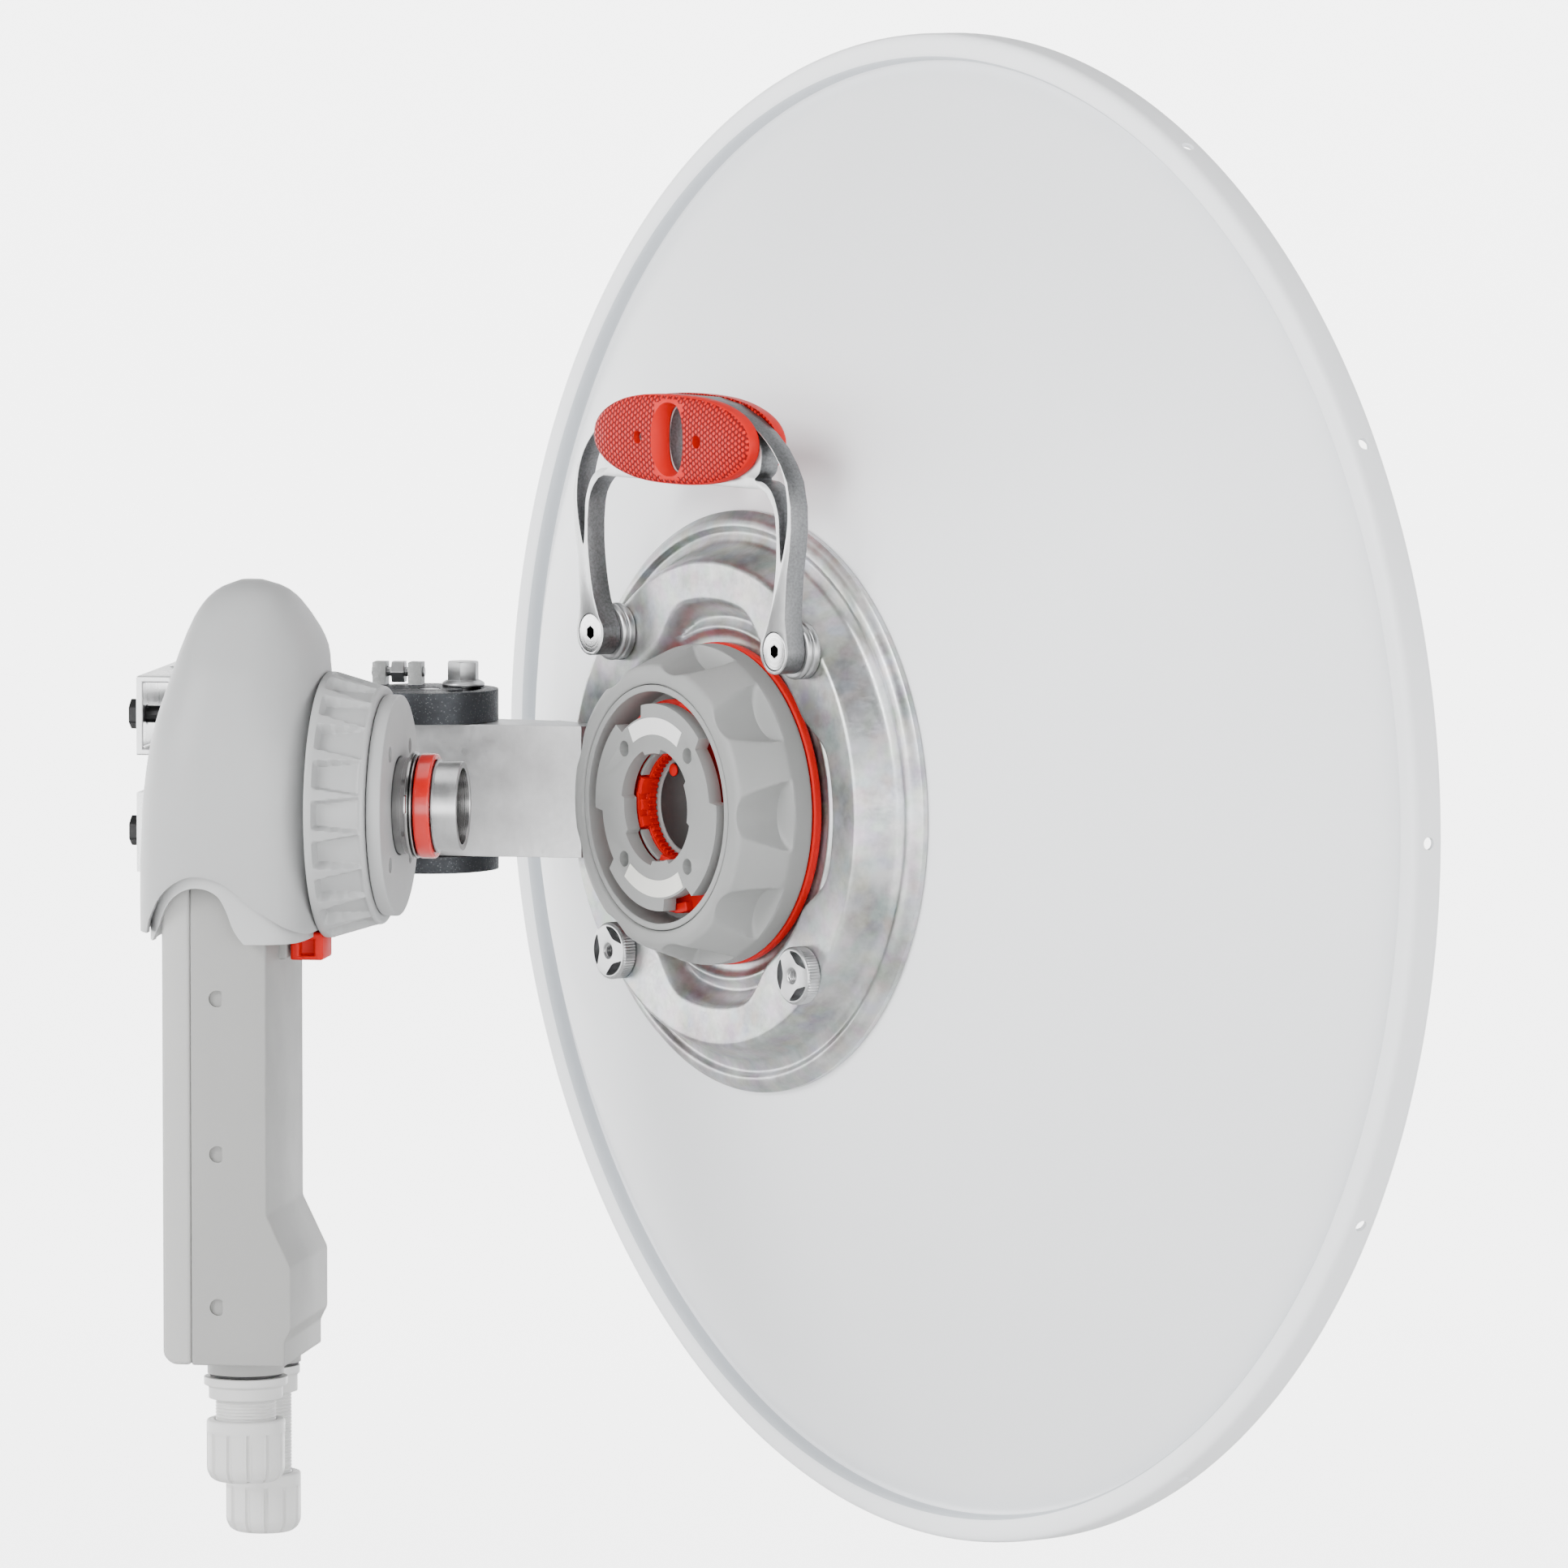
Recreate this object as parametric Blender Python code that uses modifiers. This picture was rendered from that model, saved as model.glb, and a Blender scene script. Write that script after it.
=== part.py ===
"""Parabolic dish antenna with its pole mount, carrying handle and plug-in radio.

Metres, +Z up. The origin is on the axis of the pole that carries the mount, level with the
dish's own axis. The dish looks along -Y, so its back, with the port, faces +Y.
"""
import math

import bmesh
import bpy
from mathutils import Matrix, Vector

FULL_TURN = 2 * math.pi
GAP = 0.0003

# Pole mount, along the arm: S is the distance from the arm's bend towards the pole.
MOUNT_YAW = math.radians(45)
POLE_S = 0.1615
POLE_T = -0.022
POLE_RADIUS = 0.030
PIVOT_S = 0.0739
EAR_RADIUS = 0.0315
ELEVATION_S = 0.1125
BARREL_RADIUS = 0.0115
ARM_HALF_HEIGHT = 0.030
SHEET = 0.003

# Dish, seen from behind: X to the right, Y up, Z out of the back, from the port's centre.
BEND_FROM_PORT = (0.0853, -0.020)
RIM_RADIUS = 0.343
WALL_RADIUS = 0.331
RIM_BACK = -0.1594
RIM_FRONT = -0.1745
RADOME_HOLES = -0.1674
FOCAL_LENGTH = 0.2024
BOWL_VERTEX = -0.034
BOWL_THICKNESS = 0.002
HUB_RADIUS = 0.095
HUB_HOLE = 0.060
PLATE_THICKNESS = 0.0025
BOSS_X = 0.0705
BOSS_UP = 0.0736
BOSS_DOWN = -0.0714
BOSS_FACE = -0.0243
RAISED_RING = -0.031
WHEEL_RADIUS = 0.072
WHEEL_BORE = 0.0553
SCALLOPS = 9
SCALLOP_CENTRE = 0.0798
SCALLOP_RADIUS = 0.0184
HANDLE_BACK = -0.0145
HANDLE_FRONT = -0.0240
GRIP_CENTRE = 0.1645
GRIP_SCREW_X = 0.0225
EYE_RADIUS = 0.0103
EYE_HOLE = 0.0088

# Radio and its port adaptor: X from the tube's mouth back to the hood, Y to the side, Z up.
RADIO_FROM_PORT = (0.0, 0.104, 0.006)
TUBE_BORE = 0.0170
RADIO_HALF_WIDTH = 0.043
RADIO_SEAM = 0.115
RADIO_BASE = -0.246
RADIO_TOP = 0.024
GLAND_X = 0.0965
GLAND_SIDES = (0.013, -0.027)
SCREW_HEIGHTS = (-0.083, -0.152, -0.220)


def clear_scene():
    for item in list(bpy.data.objects):
        bpy.data.objects.remove(item, do_unlink=True)


def new_collection(name):
    made = bpy.data.collections.new(name)
    bpy.context.scene.collection.children.link(made)
    return made


def material(name, colour, roughness, metallic=0.0):
    made = bpy.data.materials.new(name)
    made.use_nodes = True
    shader = made.node_tree.nodes["Principled BSDF"]
    shader.inputs["Base Color"].default_value = (*colour, 1.0)
    shader.inputs["Roughness"].default_value = roughness
    shader.inputs["Metallic"].default_value = metallic
    made.diffuse_color = (*colour, 1.0)
    return made


clear_scene()
PARTS = new_collection("dish_antenna")
CUTTERS = new_collection("cutters")
PAINT = material("dish_paint", (0.80, 0.81, 0.83), 0.45)
PLASTIC = material("grey_plastic", (0.50, 0.51, 0.51), 0.50)
RADIO = material("radio_plastic", (0.66, 0.66, 0.65), 0.50)
GLAND = material("gland_plastic", (0.76, 0.76, 0.76), 0.45)
RED = material("red_plastic", (0.70, 0.03, 0.03), 0.45)
RUBBER = material("black_rubber", (0.03, 0.03, 0.03), 0.70)
GALVANISED = material("galvanised_steel", (0.62, 0.63, 0.64), 0.35, 1.0)
STAINLESS = material("stainless_steel", (0.66, 0.66, 0.67), 0.25, 1.0)
ALUMINIUM = material("brushed_aluminium", (0.70, 0.71, 0.72), 0.30, 1.0)
CASTING = material("cast_metal", (0.16, 0.17, 0.18), 0.50, 0.6)
BLACK_STEEL = material("black_steel", (0.03, 0.03, 0.03), 0.45, 0.6)
BOARD = material("circuit_board", (0.03, 0.20, 0.08), 0.50)


def frame_at(name, location, rotation=(0, 0, 0), parent=None):
    made = bpy.data.objects.new(name, None)
    made.parent = parent
    made.location = location
    made.rotation_euler = rotation
    PARTS.objects.link(made)
    return made


def along_arm(s, t, z=0.0):
    """World place of a point S along the arm and T out of its face."""
    turn = Matrix.Rotation(MOUNT_YAW, 3, "Z")
    return turn @ Vector((s - POLE_S, t - POLE_T, z))


BEND = along_arm(0, 0)
PORT = BEND + Vector((-BEND_FROM_PORT[0], -BEND_FROM_PORT[1], 0))
ARM_FRAME = frame_at("arm_frame", BEND, (0, 0, MOUNT_YAW))
DISH_FRAME = frame_at("dish_frame", PORT, (math.pi / 2, 0, math.pi))
RADIO_FRAME = frame_at("radio_frame", PORT + Vector(RADIO_FROM_PORT), (0, 0, MOUNT_YAW))
TO_X = (0, math.pi / 2, 0)
TO_Y = (-math.pi / 2, 0, 0)


def link(name, mesh, finish, parent, location=(0, 0, 0), rotation=(0, 0, 0)):
    """Put a mesh in the scene as a named sub-part, or as a cutter if it has no finish."""
    made = bpy.data.objects.new(name, mesh)
    made.parent = parent
    made.location = location
    made.rotation_euler = rotation
    if finish is None:
        CUTTERS.objects.link(made)
        made.hide_render = True
        made.display_type = "WIRE"
        return made
    mesh.materials.append(finish)
    PARTS.objects.link(made)
    return made


def shade(mesh):
    mesh.shade_smooth()
    mesh.set_sharp_from_angle(angle=math.radians(35))
    return mesh


def mesh_from(build):
    bm = bmesh.new()
    build(bm)
    mesh = bpy.data.meshes.new("mesh")
    bm.to_mesh(mesh)
    bm.free()
    return shade(mesh)


def box_mesh(low, high):
    size = [b - a for a, b in zip(low, high)]
    middle = [(a + b) / 2 for a, b in zip(low, high)]
    place = Matrix.Translation(middle) @ Matrix.Diagonal((*size, 1))
    return mesh_from(lambda bm: bmesh.ops.create_cube(bm, size=1, matrix=place))


def rod_mesh(radius, start, end, sides=16, end_radius=None, turn=0.0):
    """A cylinder, cone or prism along Z from start to end."""
    place = Matrix.Translation((0, 0, (start + end) / 2)) @ Matrix.Rotation(turn, 4, "Z")
    top = radius if end_radius is None else end_radius
    return mesh_from(lambda bm: bmesh.ops.create_cone(
        bm, cap_ends=True, segments=sides, radius1=radius, radius2=top,
        depth=end - start, matrix=place))


def arc(centre, radius, start, end, count):
    """Points on an arc, angles in degrees."""
    turns = [math.radians(start + (end - start) * i / (count - 1)) for i in range(count)]
    return [(centre[0] + radius * math.cos(a), centre[1] + radius * math.sin(a)) for a in turns]


def plate_mesh(outlines, low, high):
    """A flat outline, with any further outlines as holes, from Z low to high."""
    curve = bpy.data.curves.new("outline", "CURVE")
    curve.dimensions = "2D"
    curve.fill_mode = "BOTH"
    curve.extrude = (high - low) / 2
    for outline in outlines:
        spline = curve.splines.new("POLY")
        spline.points.add(len(outline) - 1)
        for point, (x, y) in zip(spline.points, outline):
            point.co = (x, y, 0, 1)
        spline.use_cyclic_u = True
    holder = bpy.data.objects.new("outline", curve)
    bpy.context.scene.collection.objects.link(holder)
    graph = bpy.context.evaluated_depsgraph_get()
    mesh = bpy.data.meshes.new_from_object(holder.evaluated_get(graph))
    bpy.data.objects.remove(holder)
    bm = bmesh.new()
    bm.from_mesh(mesh)
    bmesh.ops.remove_doubles(bm, verts=bm.verts, dist=1e-6)
    bmesh.ops.translate(bm, verts=bm.verts, vec=(0, 0, (low + high) / 2))
    bmesh.ops.recalc_face_normals(bm, faces=bm.faces)
    bm.to_mesh(mesh)
    bm.free()
    return shade(mesh)


def turned(name, profile, finish, parent, rotation=(0, 0, 0), location=(0, 0, 0),
           steps=32, ring=True):
    """Turn a profile of (radius, height) points about Z. A ring's profile is closed."""
    area = sum(a[0] * b[1] - b[0] * a[1] for a, b in zip(profile, profile[1:] + profile[:1]))
    if area > 0:
        profile = profile[::-1]
    mesh = bpy.data.meshes.new(name)
    edges = [(i, i + 1) for i in range(len(profile) - 1)]
    if ring:
        edges.append((len(profile) - 1, 0))
    mesh.from_pydata([(r, 0, h) for r, h in profile], edges, [])
    made = link(name, mesh, finish, parent, location, rotation)
    screw = made.modifiers.new("turn", "SCREW")
    screw.steps = screw.render_steps = steps
    screw.use_merge_vertices = True
    screw.merge_threshold = 1e-6
    screw.use_smooth_shade = True
    return made


def combine(piece, tool, operation="DIFFERENCE"):
    """Cut a tool out of a piece, or join it on."""
    change = piece.modifiers.new(operation.lower(), "BOOLEAN")
    change.operation = operation
    change.object = tool
    return piece


def cut_rod(piece, parent, location, rotation, radius, start, end, sides=10):
    mesh = rod_mesh(radius, start, end, sides, turn=0.13)
    tool = link("hole", mesh, None, parent, location, rotation)
    return combine(piece, tool)


def add_box(piece, parent, low, high, operation="UNION"):
    return combine(piece, link("block", box_mesh(low, high), None, parent), operation)


def offset_line(points, distance):
    """The same line moved sideways, for the other face of a sheet."""
    moved = []
    for i, point in enumerate(points):
        before = points[max(i - 1, 0)]
        after = points[min(i + 1, len(points) - 1)]
        slope = Vector((after[0] - before[0], after[1] - before[1])).normalized()
        moved.append((point[0] + slope.y * distance, point[1] - slope.x * distance))
    return moved


def bowl(radius):
    """Height of the reflector's back surface."""
    return BOWL_VERTEX - radius ** 2 / (4 * FOCAL_LENGTH)


def bowl_front(radius):
    lean = math.hypot(1, radius / (2 * FOCAL_LENGTH))
    return bowl(radius) - BOWL_THICKNESS * lean


def boss_places():
    return [(x, y) for y in (BOSS_UP, BOSS_DOWN) for x in (-BOSS_X, BOSS_X)]


def make_reflector():
    """Spun bowl with a flat hub, a wall standing up behind it, and a turned-down skirt."""
    stations = [HUB_RADIUS + (WALL_RADIUS - HUB_RADIUS) * i / 5 for i in range(6)]
    inner_wall = WALL_RADIUS + BOWL_THICKNESS
    inner_skirt = RIM_RADIUS - BOWL_THICKNESS
    under = RIM_BACK - BOWL_THICKNESS
    corner = 0.0015
    hub = bowl(HUB_RADIUS)
    back = [(HUB_HOLE, hub)] + [(r, bowl(r)) for r in stations]
    bead = [(WALL_RADIUS, RIM_BACK - corner), (WALL_RADIUS + corner, RIM_BACK),
            (RIM_RADIUS - corner, RIM_BACK), (RIM_RADIUS, RIM_BACK - corner),
            (RIM_RADIUS, RIM_FRONT), (inner_skirt, RIM_FRONT), (inner_skirt, under),
            (inner_wall, under), (inner_wall, bowl_front(inner_wall))]
    front = [(r, bowl_front(r)) for r in reversed(stations[:-1])]
    front.append((HUB_HOLE, hub - BOWL_THICKNESS))
    dish = turned("reflector", back + bead + front, PAINT, DISH_FRAME, steps=48)
    holes = 12
    for i in range(holes):
        turn = FULL_TURN * i / holes
        place = (RIM_RADIUS * math.cos(turn), RIM_RADIUS * math.sin(turn), RADOME_HOLES)
        cut_rod(dish, DISH_FRAME, place, (0, math.pi / 2, turn), 0.0028, -0.004, 0.004, 6)
    for x, y in boss_places():
        cut_rod(dish, DISH_FRAME, (x, y, 0), (0, 0, 0), 0.0056, -0.060, -0.040)


def make_back_plate():
    """Pressed ring that carries the port, the handle and the arm."""
    rest = PLATE_THICKNESS + GAP + 0.0003
    face = [(0.045, -0.040), (0.078, -0.040), (0.081, -0.0418), (0.086, -0.0418),
            (0.092, RAISED_RING), (0.110, RAISED_RING), (0.115, bowl(0.115) + rest + 0.0002),
            (0.1225, bowl(0.1225) + rest), (0.126, -0.0496), (0.1295, -0.0490), (0.131, -0.0515)]
    under = offset_line(face, PLATE_THICKNESS)
    under[0] = (face[0][0], under[0][1])
    plate = turned("back_plate", face + under[::-1], GALVANISED, DISH_FRAME, steps=40)
    for x, y in boss_places():
        cut_rod(plate, DISH_FRAME, (x, y, 0), (0, 0, 0), 0.0056, -0.050, -0.020)
    for y in (-0.018, 0.018):
        cut_rod(plate, DISH_FRAME, (-0.104, y, 0), (0, 0, 0), 0.0034, -0.050, -0.020)


def make_front_ring():
    """Clamping ring on the bowl's front face, which the four slotted bolts screw into."""
    radii = (0.094, 0.110)
    top = [(r, bowl_front(r) - 5 * GAP) for r in radii]
    low = [(r, h - 0.005) for r, h in reversed(top)]
    ring = turned("front_clamp_ring", top + low, GALVANISED, DISH_FRAME, steps=24)
    for x, y in boss_places():
        cut_rod(ring, DISH_FRAME, (x, y, 0), (0, 0, 0), 0.0054, -0.065, -0.040)


def make_slotted_bolts():
    """Round-headed bolts with three curved key slots and a threaded centre."""
    for i, (x, y) in enumerate(boss_places()):
        head_under = RAISED_RING + GAP
        profile = [(0, BOSS_FACE), (0.0122, BOSS_FACE), (0.013, BOSS_FACE - 0.0008),
                   (0.013, head_under), (0.005, head_under), (0.005, -0.0560), (0, -0.0560)]
        name = "slotted_bolt_" + str(i + 1)
        bolt = turned(name, profile, STAINLESS, DISH_FRAME, (0, 0, 0), (x, y, 0), 20, False)
        cut_rod(bolt, DISH_FRAME, (x, y, 0), (0, 0, 0), 0.0034, BOSS_FACE - 0.012, 0, 8)
        for k in range(3):
            turn = 180 + 120 * k
            slot = arc((0, 0), 0.0106, turn - 38, turn + 38, 4)
            middle = math.radians(turn)
            inner = (0.0072 * math.cos(middle), 0.0072 * math.sin(middle))
            tool = plate_mesh([slot + [inner]], BOSS_FACE - 0.0035, BOSS_FACE + 0.002)
            combine(bolt, link("key_slot", tool, None, DISH_FRAME, (x, y, 0)))


def make_port():
    """Fixed housing with the hand wheel round it and the lock ring and key plate inside."""
    housing = [(0.0212, -0.018), (0.052, -0.018), (0.052, -0.0004), (0.0550, -0.0004),
               (0.0550, -0.018), (0.0575, -0.018), (0.0575, -0.022), (0.0550, -0.022),
               (0.0550, -0.0397), (0.0445, -0.0397), (0.0445, -0.048), (0.0212, -0.048)]
    turned("port_housing", housing, PLASTIC, DISH_FRAME, steps=32)
    nut = [(0.0448, -0.0428), (0.0575, -0.0428), (0.0575, -0.0475), (0.0448, -0.0475)]
    turned("housing_ring_nut", nut, GALVANISED, DISH_FRAME, steps=32)
    seal = [(WHEEL_BORE, -0.0355), (0.0725, -0.0355), (0.0725, -0.0397), (WHEEL_BORE, -0.0397)]
    turned("wheel_seal_ring", seal, RED, DISH_FRAME, steps=32)

    wheel = [(WHEEL_BORE, 0.0), (0.0615, 0.0), (0.0640, -0.0015), (WHEEL_RADIUS, -0.024),
             (WHEEL_RADIUS, -0.0350), (WHEEL_BORE, -0.0350), (WHEEL_BORE, -0.0224),
             (0.0579, -0.0224), (0.0579, -0.0176), (WHEEL_BORE, -0.0176)]
    wheel = turned("hand_wheel", wheel, PLASTIC, DISH_FRAME, steps=36)
    for i in range(SCALLOPS):
        turn = FULL_TURN * i / SCALLOPS
        place = (SCALLOP_CENTRE * math.cos(turn), SCALLOP_CENTRE * math.sin(turn), 0)
        cut_rod(wheel, DISH_FRAME, place, (0, 0, turn), SCALLOP_RADIUS, -0.0245, 0.002, 16)

    lock = [(0.0225, -0.0080), (0.0480, -0.0080), (0.0480, -0.0177), (0.0225, -0.0177)]
    lock = turned("port_lock_ring", lock, RED, DISH_FRAME, steps=24)
    for i in range(3):
        turn = FULL_TURN * i / 3
        tab = link("tab", box_mesh((0.0470, -0.005, -0.0160), (0.0513, 0.005, -0.0088)),
                   None, DISH_FRAME, rotation=(0, 0, turn))
        combine(lock, tab, "UNION")

    outline = []
    for start in (45, 135, 225, 315):
        outline += arc((0, 0), 0.0465, start, start + 56, 7)
        outline += arc((0, 0), 0.0412, start + 58, start + 88, 4)
    plate = plate_mesh([outline, arc((0, 0), 0.0262, 0, 345, 24)], -0.0072, -0.0004)
    plate = link("port_plate", plate, PLASTIC, DISH_FRAME)
    for x in (-0.024, 0.024):
        for y in (-0.0245, 0.0245):
            cut_rod(plate, DISH_FRAME, (x, y, 0), (0, 0, 0), 0.0036, -0.0050, 0.002, 12)

    disc = rod_mesh(0.0208, -0.0195, -0.0182, 20)
    link("port_membrane", disc, RUBBER, DISH_FRAME)


def make_feed():
    """Round waveguide down the bowl's axis, with a plastic cone and a splash plate."""
    guide = [(0.0190, -0.0198), (0.0208, -0.0198), (0.0208, -0.180), (0.0190, -0.180)]
    turned("feed_waveguide", guide, ALUMINIUM, DISH_FRAME, steps=20)
    cone = [(0, -0.170), (0.0186, -0.170), (0.0186, -0.1803), (0.021, -0.1803),
            (0.036, -0.1960), (0, -0.1960)]
    turned("feed_cone", cone, GLAND, DISH_FRAME, steps=20, ring=False)
    disc = [(0, -0.1963), (0.038, -0.1963), (0.038, -0.1985), (0, -0.1985)]
    turned("subreflector", disc, ALUMINIUM, DISH_FRAME, steps=20, ring=False)


def lens(half_width, half_height, count=18):
    """The grip's outline, fuller than an ellipse."""
    points = []
    for i in range(count):
        turn = FULL_TURN * i / count
        c, s = math.cos(turn), math.sin(turn)
        points.append((math.copysign(abs(c) ** 0.8, c) * half_width,
                       math.copysign(abs(s) ** 0.95, s) * half_height + GRIP_CENTRE))
    return points


def oval(half_width, half_height, count=12):
    turns = [FULL_TURN * i / count for i in range(count)]
    return [(half_width * math.cos(a), half_height * math.sin(a) + GRIP_CENTRE) for a in turns]


def make_handle():
    """Carrying handle: an arch with split arms, a two-shell grip and two hex-socket bolts."""
    eye = (BOSS_X, BOSS_UP)
    outside = arc(eye, EYE_RADIUS, -90, 10, 6) + [
        (0.0785, 0.088), (0.0797, 0.106), (0.0825, 0.118), (0.0833, 0.136), (0.0805, 0.149),
        (0.0715, 0.161), (0.0600, 0.170), (0.0490, 0.176), (0.0340, 0.1815), (0.0170, 0.1840)]
    inside = [(0.0480, 0.1450), (0.0600, 0.1452), (0.0676, 0.1405), (0.0714, 0.1340),
              (0.0724, 0.1246), (0.0724, 0.1153), (0.0706, 0.1014), (0.0676, 0.0895),
              (0.0640, 0.0815)] + arc(eye, EYE_RADIUS, 160, 255, 6)
    outline = outside + [(-x, y) for x, y in reversed(outside)]
    outline += [(-x, y) for x, y in reversed(inside)] + inside
    slot = [(0.0757, 0.115), (0.0798, 0.126), (0.0807, 0.137), (0.0788, 0.148),
            (0.0738, 0.1575), (0.0650, 0.1660), (0.0540, 0.1728), (0.0570, 0.1690),
            (0.0610, 0.1620), (0.0600, 0.1530), (0.0560, 0.1490), (0.0630, 0.1480),
            (0.0694, 0.1434), (0.0737, 0.1340), (0.0744, 0.1246)]
    other = [(-x, y) for x, y in reversed(slot)]
    holes = [arc((x, BOSS_UP), EYE_HOLE, 0, 337.5, 16) for x in (-BOSS_X, BOSS_X)]
    frame = plate_mesh([outline, slot, other, oval(0.0085, 0.0150)] + holes,
                       HANDLE_FRONT, HANDLE_BACK)
    link("handle_frame", frame, ALUMINIUM, DISH_FRAME)

    for side, x in (("left", -BOSS_X), ("right", BOSS_X)):
        profile = [(0, HANDLE_BACK - 0.0002), (0.0085, HANDLE_BACK - 0.0002),
                   (0.0085, HANDLE_FRONT + 0.0002), (0.003, HANDLE_FRONT + 0.0002),
                   (0.003, -0.0350), (0, -0.0350)]
        name = "handle_bolt_" + side
        bolt = turned(name, profile, STAINLESS, DISH_FRAME, (0, 0, 0), (x, BOSS_UP, 0), 16, False)
        cut_rod(bolt, DISH_FRAME, (x, BOSS_UP, 0), (0, 0, 0), 0.0029, -0.0185, -0.010, 6)

    edge_depth, crown_depth, screw_depth = 0.0055, 0.0085, 0.0020
    for name, base, way in (("grip_shell_back", HANDLE_BACK + GAP, 1),
                            ("grip_shell_front", HANDLE_FRONT - GAP, -1)):
        edge, crown = base + way * edge_depth, base + way * crown_depth
        rings = [[(x, y, base) for x, y in lens(0.060, 0.0200)],
                 [(x, y, edge) for x, y in lens(0.060, 0.0200)],
                 [(x, y, crown) for x, y in lens(0.050, 0.0155)]]
        shell = link(name, loft_mesh(rings), RED, DISH_FRAME)
        low, high = sorted((base, crown))
        tool = plate_mesh([oval(0.0105, 0.0165)], low - 0.002, high + 0.002)
        combine(shell, link("finger_hole", tool, None, DISH_FRAME))
        start, end = sorted((crown - way * 0.0065, crown + way * 0.002))
        for x in (-GRIP_SCREW_X, GRIP_SCREW_X):
            cut_rod(shell, DISH_FRAME, (x, GRIP_CENTRE, 0), (0, 0, 0), 0.0030, start, end, 10)
    for side, x, low in (("left", -GRIP_SCREW_X, HANDLE_BACK + 0.0035),
                         ("right", GRIP_SCREW_X, HANDLE_FRONT - 0.0055)):
        mesh = rod_mesh(0.0027, low, low + screw_depth, 10)
        link("grip_screw_" + side, mesh, STAINLESS, DISH_FRAME, (x, GRIP_CENTRE, 0))


def loft_mesh(rings):
    """Skin a stack of rings with the same number of points, and close both ends."""
    def build(bm):
        rows = [[bm.verts.new(p) for p in ring] for ring in rings]
        for low, high in zip(rows, rows[1:]):
            for i in range(len(low)):
                k = (i + 1) % len(low)
                bm.faces.new((low[i], low[k], high[k], high[i]))
        bm.faces.new(rows[0][::-1])
        bm.faces.new(rows[-1])
        bmesh.ops.recalc_face_normals(bm, faces=bm.faces)
    return mesh_from(build)


def dish_to_arm(x, y):
    """A point in plan from the port, X to the side and Y back, as (S, T) along the arm."""
    dx, dy = x - BEND_FROM_PORT[0], y - BEND_FROM_PORT[1]
    root = math.sqrt(0.5)
    return ((dx + dy) * root, (dy - dx) * root)


def make_arm():
    """Bent channel from the back plate to the ears of the casting."""
    foot = RAISED_RING + GAP
    wall = BEND_FROM_PORT[0]
    reach = 0.118
    pivot = (PIVOT_S, POLE_T)
    outer = [(0, 0), (PIVOT_S + 0.0138, 0)] + arc(pivot, 0.026, 52, -145, 12)
    outer += [dish_to_arm(reach, foot + SHEET), dish_to_arm(reach, foot),
              dish_to_arm(wall, foot)]
    inner = [(0.11, -SHEET), (0.00124, -SHEET), dish_to_arm(wall + SHEET, foot + SHEET),
             dish_to_arm(reach + 0.012, foot + SHEET), (0.030, -0.090), (0.11, -0.090)]
    arm = link("bracket_arm", plate_mesh([outer], -ARM_HALF_HEIGHT, ARM_HALF_HEIGHT),
               GALVANISED, ARM_FRAME)
    pocket = ARM_HALF_HEIGHT - SHEET
    combine(arm, link("channel", plate_mesh([inner], -pocket, pocket), None, ARM_FRAME))
    cut_rod(arm, ARM_FRAME, (PIVOT_S, POLE_T, 0), (0, 0, 0), 0.0053, -0.04, 0.04)
    clamp = clamp_place()
    cut_rod(arm, ARM_FRAME, (*clamp, 0), (0, 0, 0), 0.0043, 0.01, 0.04)
    for i, y in enumerate((-0.018, 0.018)):
        cut_rod(arm, DISH_FRAME, (-0.104, y, 0), (0, 0, 0), 0.0034, -0.035, -0.020)
        name = "arm_bolt_" + ("lower", "upper")[i]
        face = foot + SHEET + GAP
        bolt = link(name, rod_mesh(0.0055, face, face + 0.004, 6), STAINLESS, DISH_FRAME,
                    (-0.104, y, 0))
        shank = link("shank", rod_mesh(0.0030, -0.0420, face + 0.002, 12), None, DISH_FRAME,
                     (-0.104, y, 0))
        combine(bolt, shank, "UNION")


def clamp_place():
    """The azimuth clamp bolt, on its arc round the pivot."""
    return arc((PIVOT_S, POLE_T), 0.0195, 228, 228.1, 2)[0]


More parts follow.
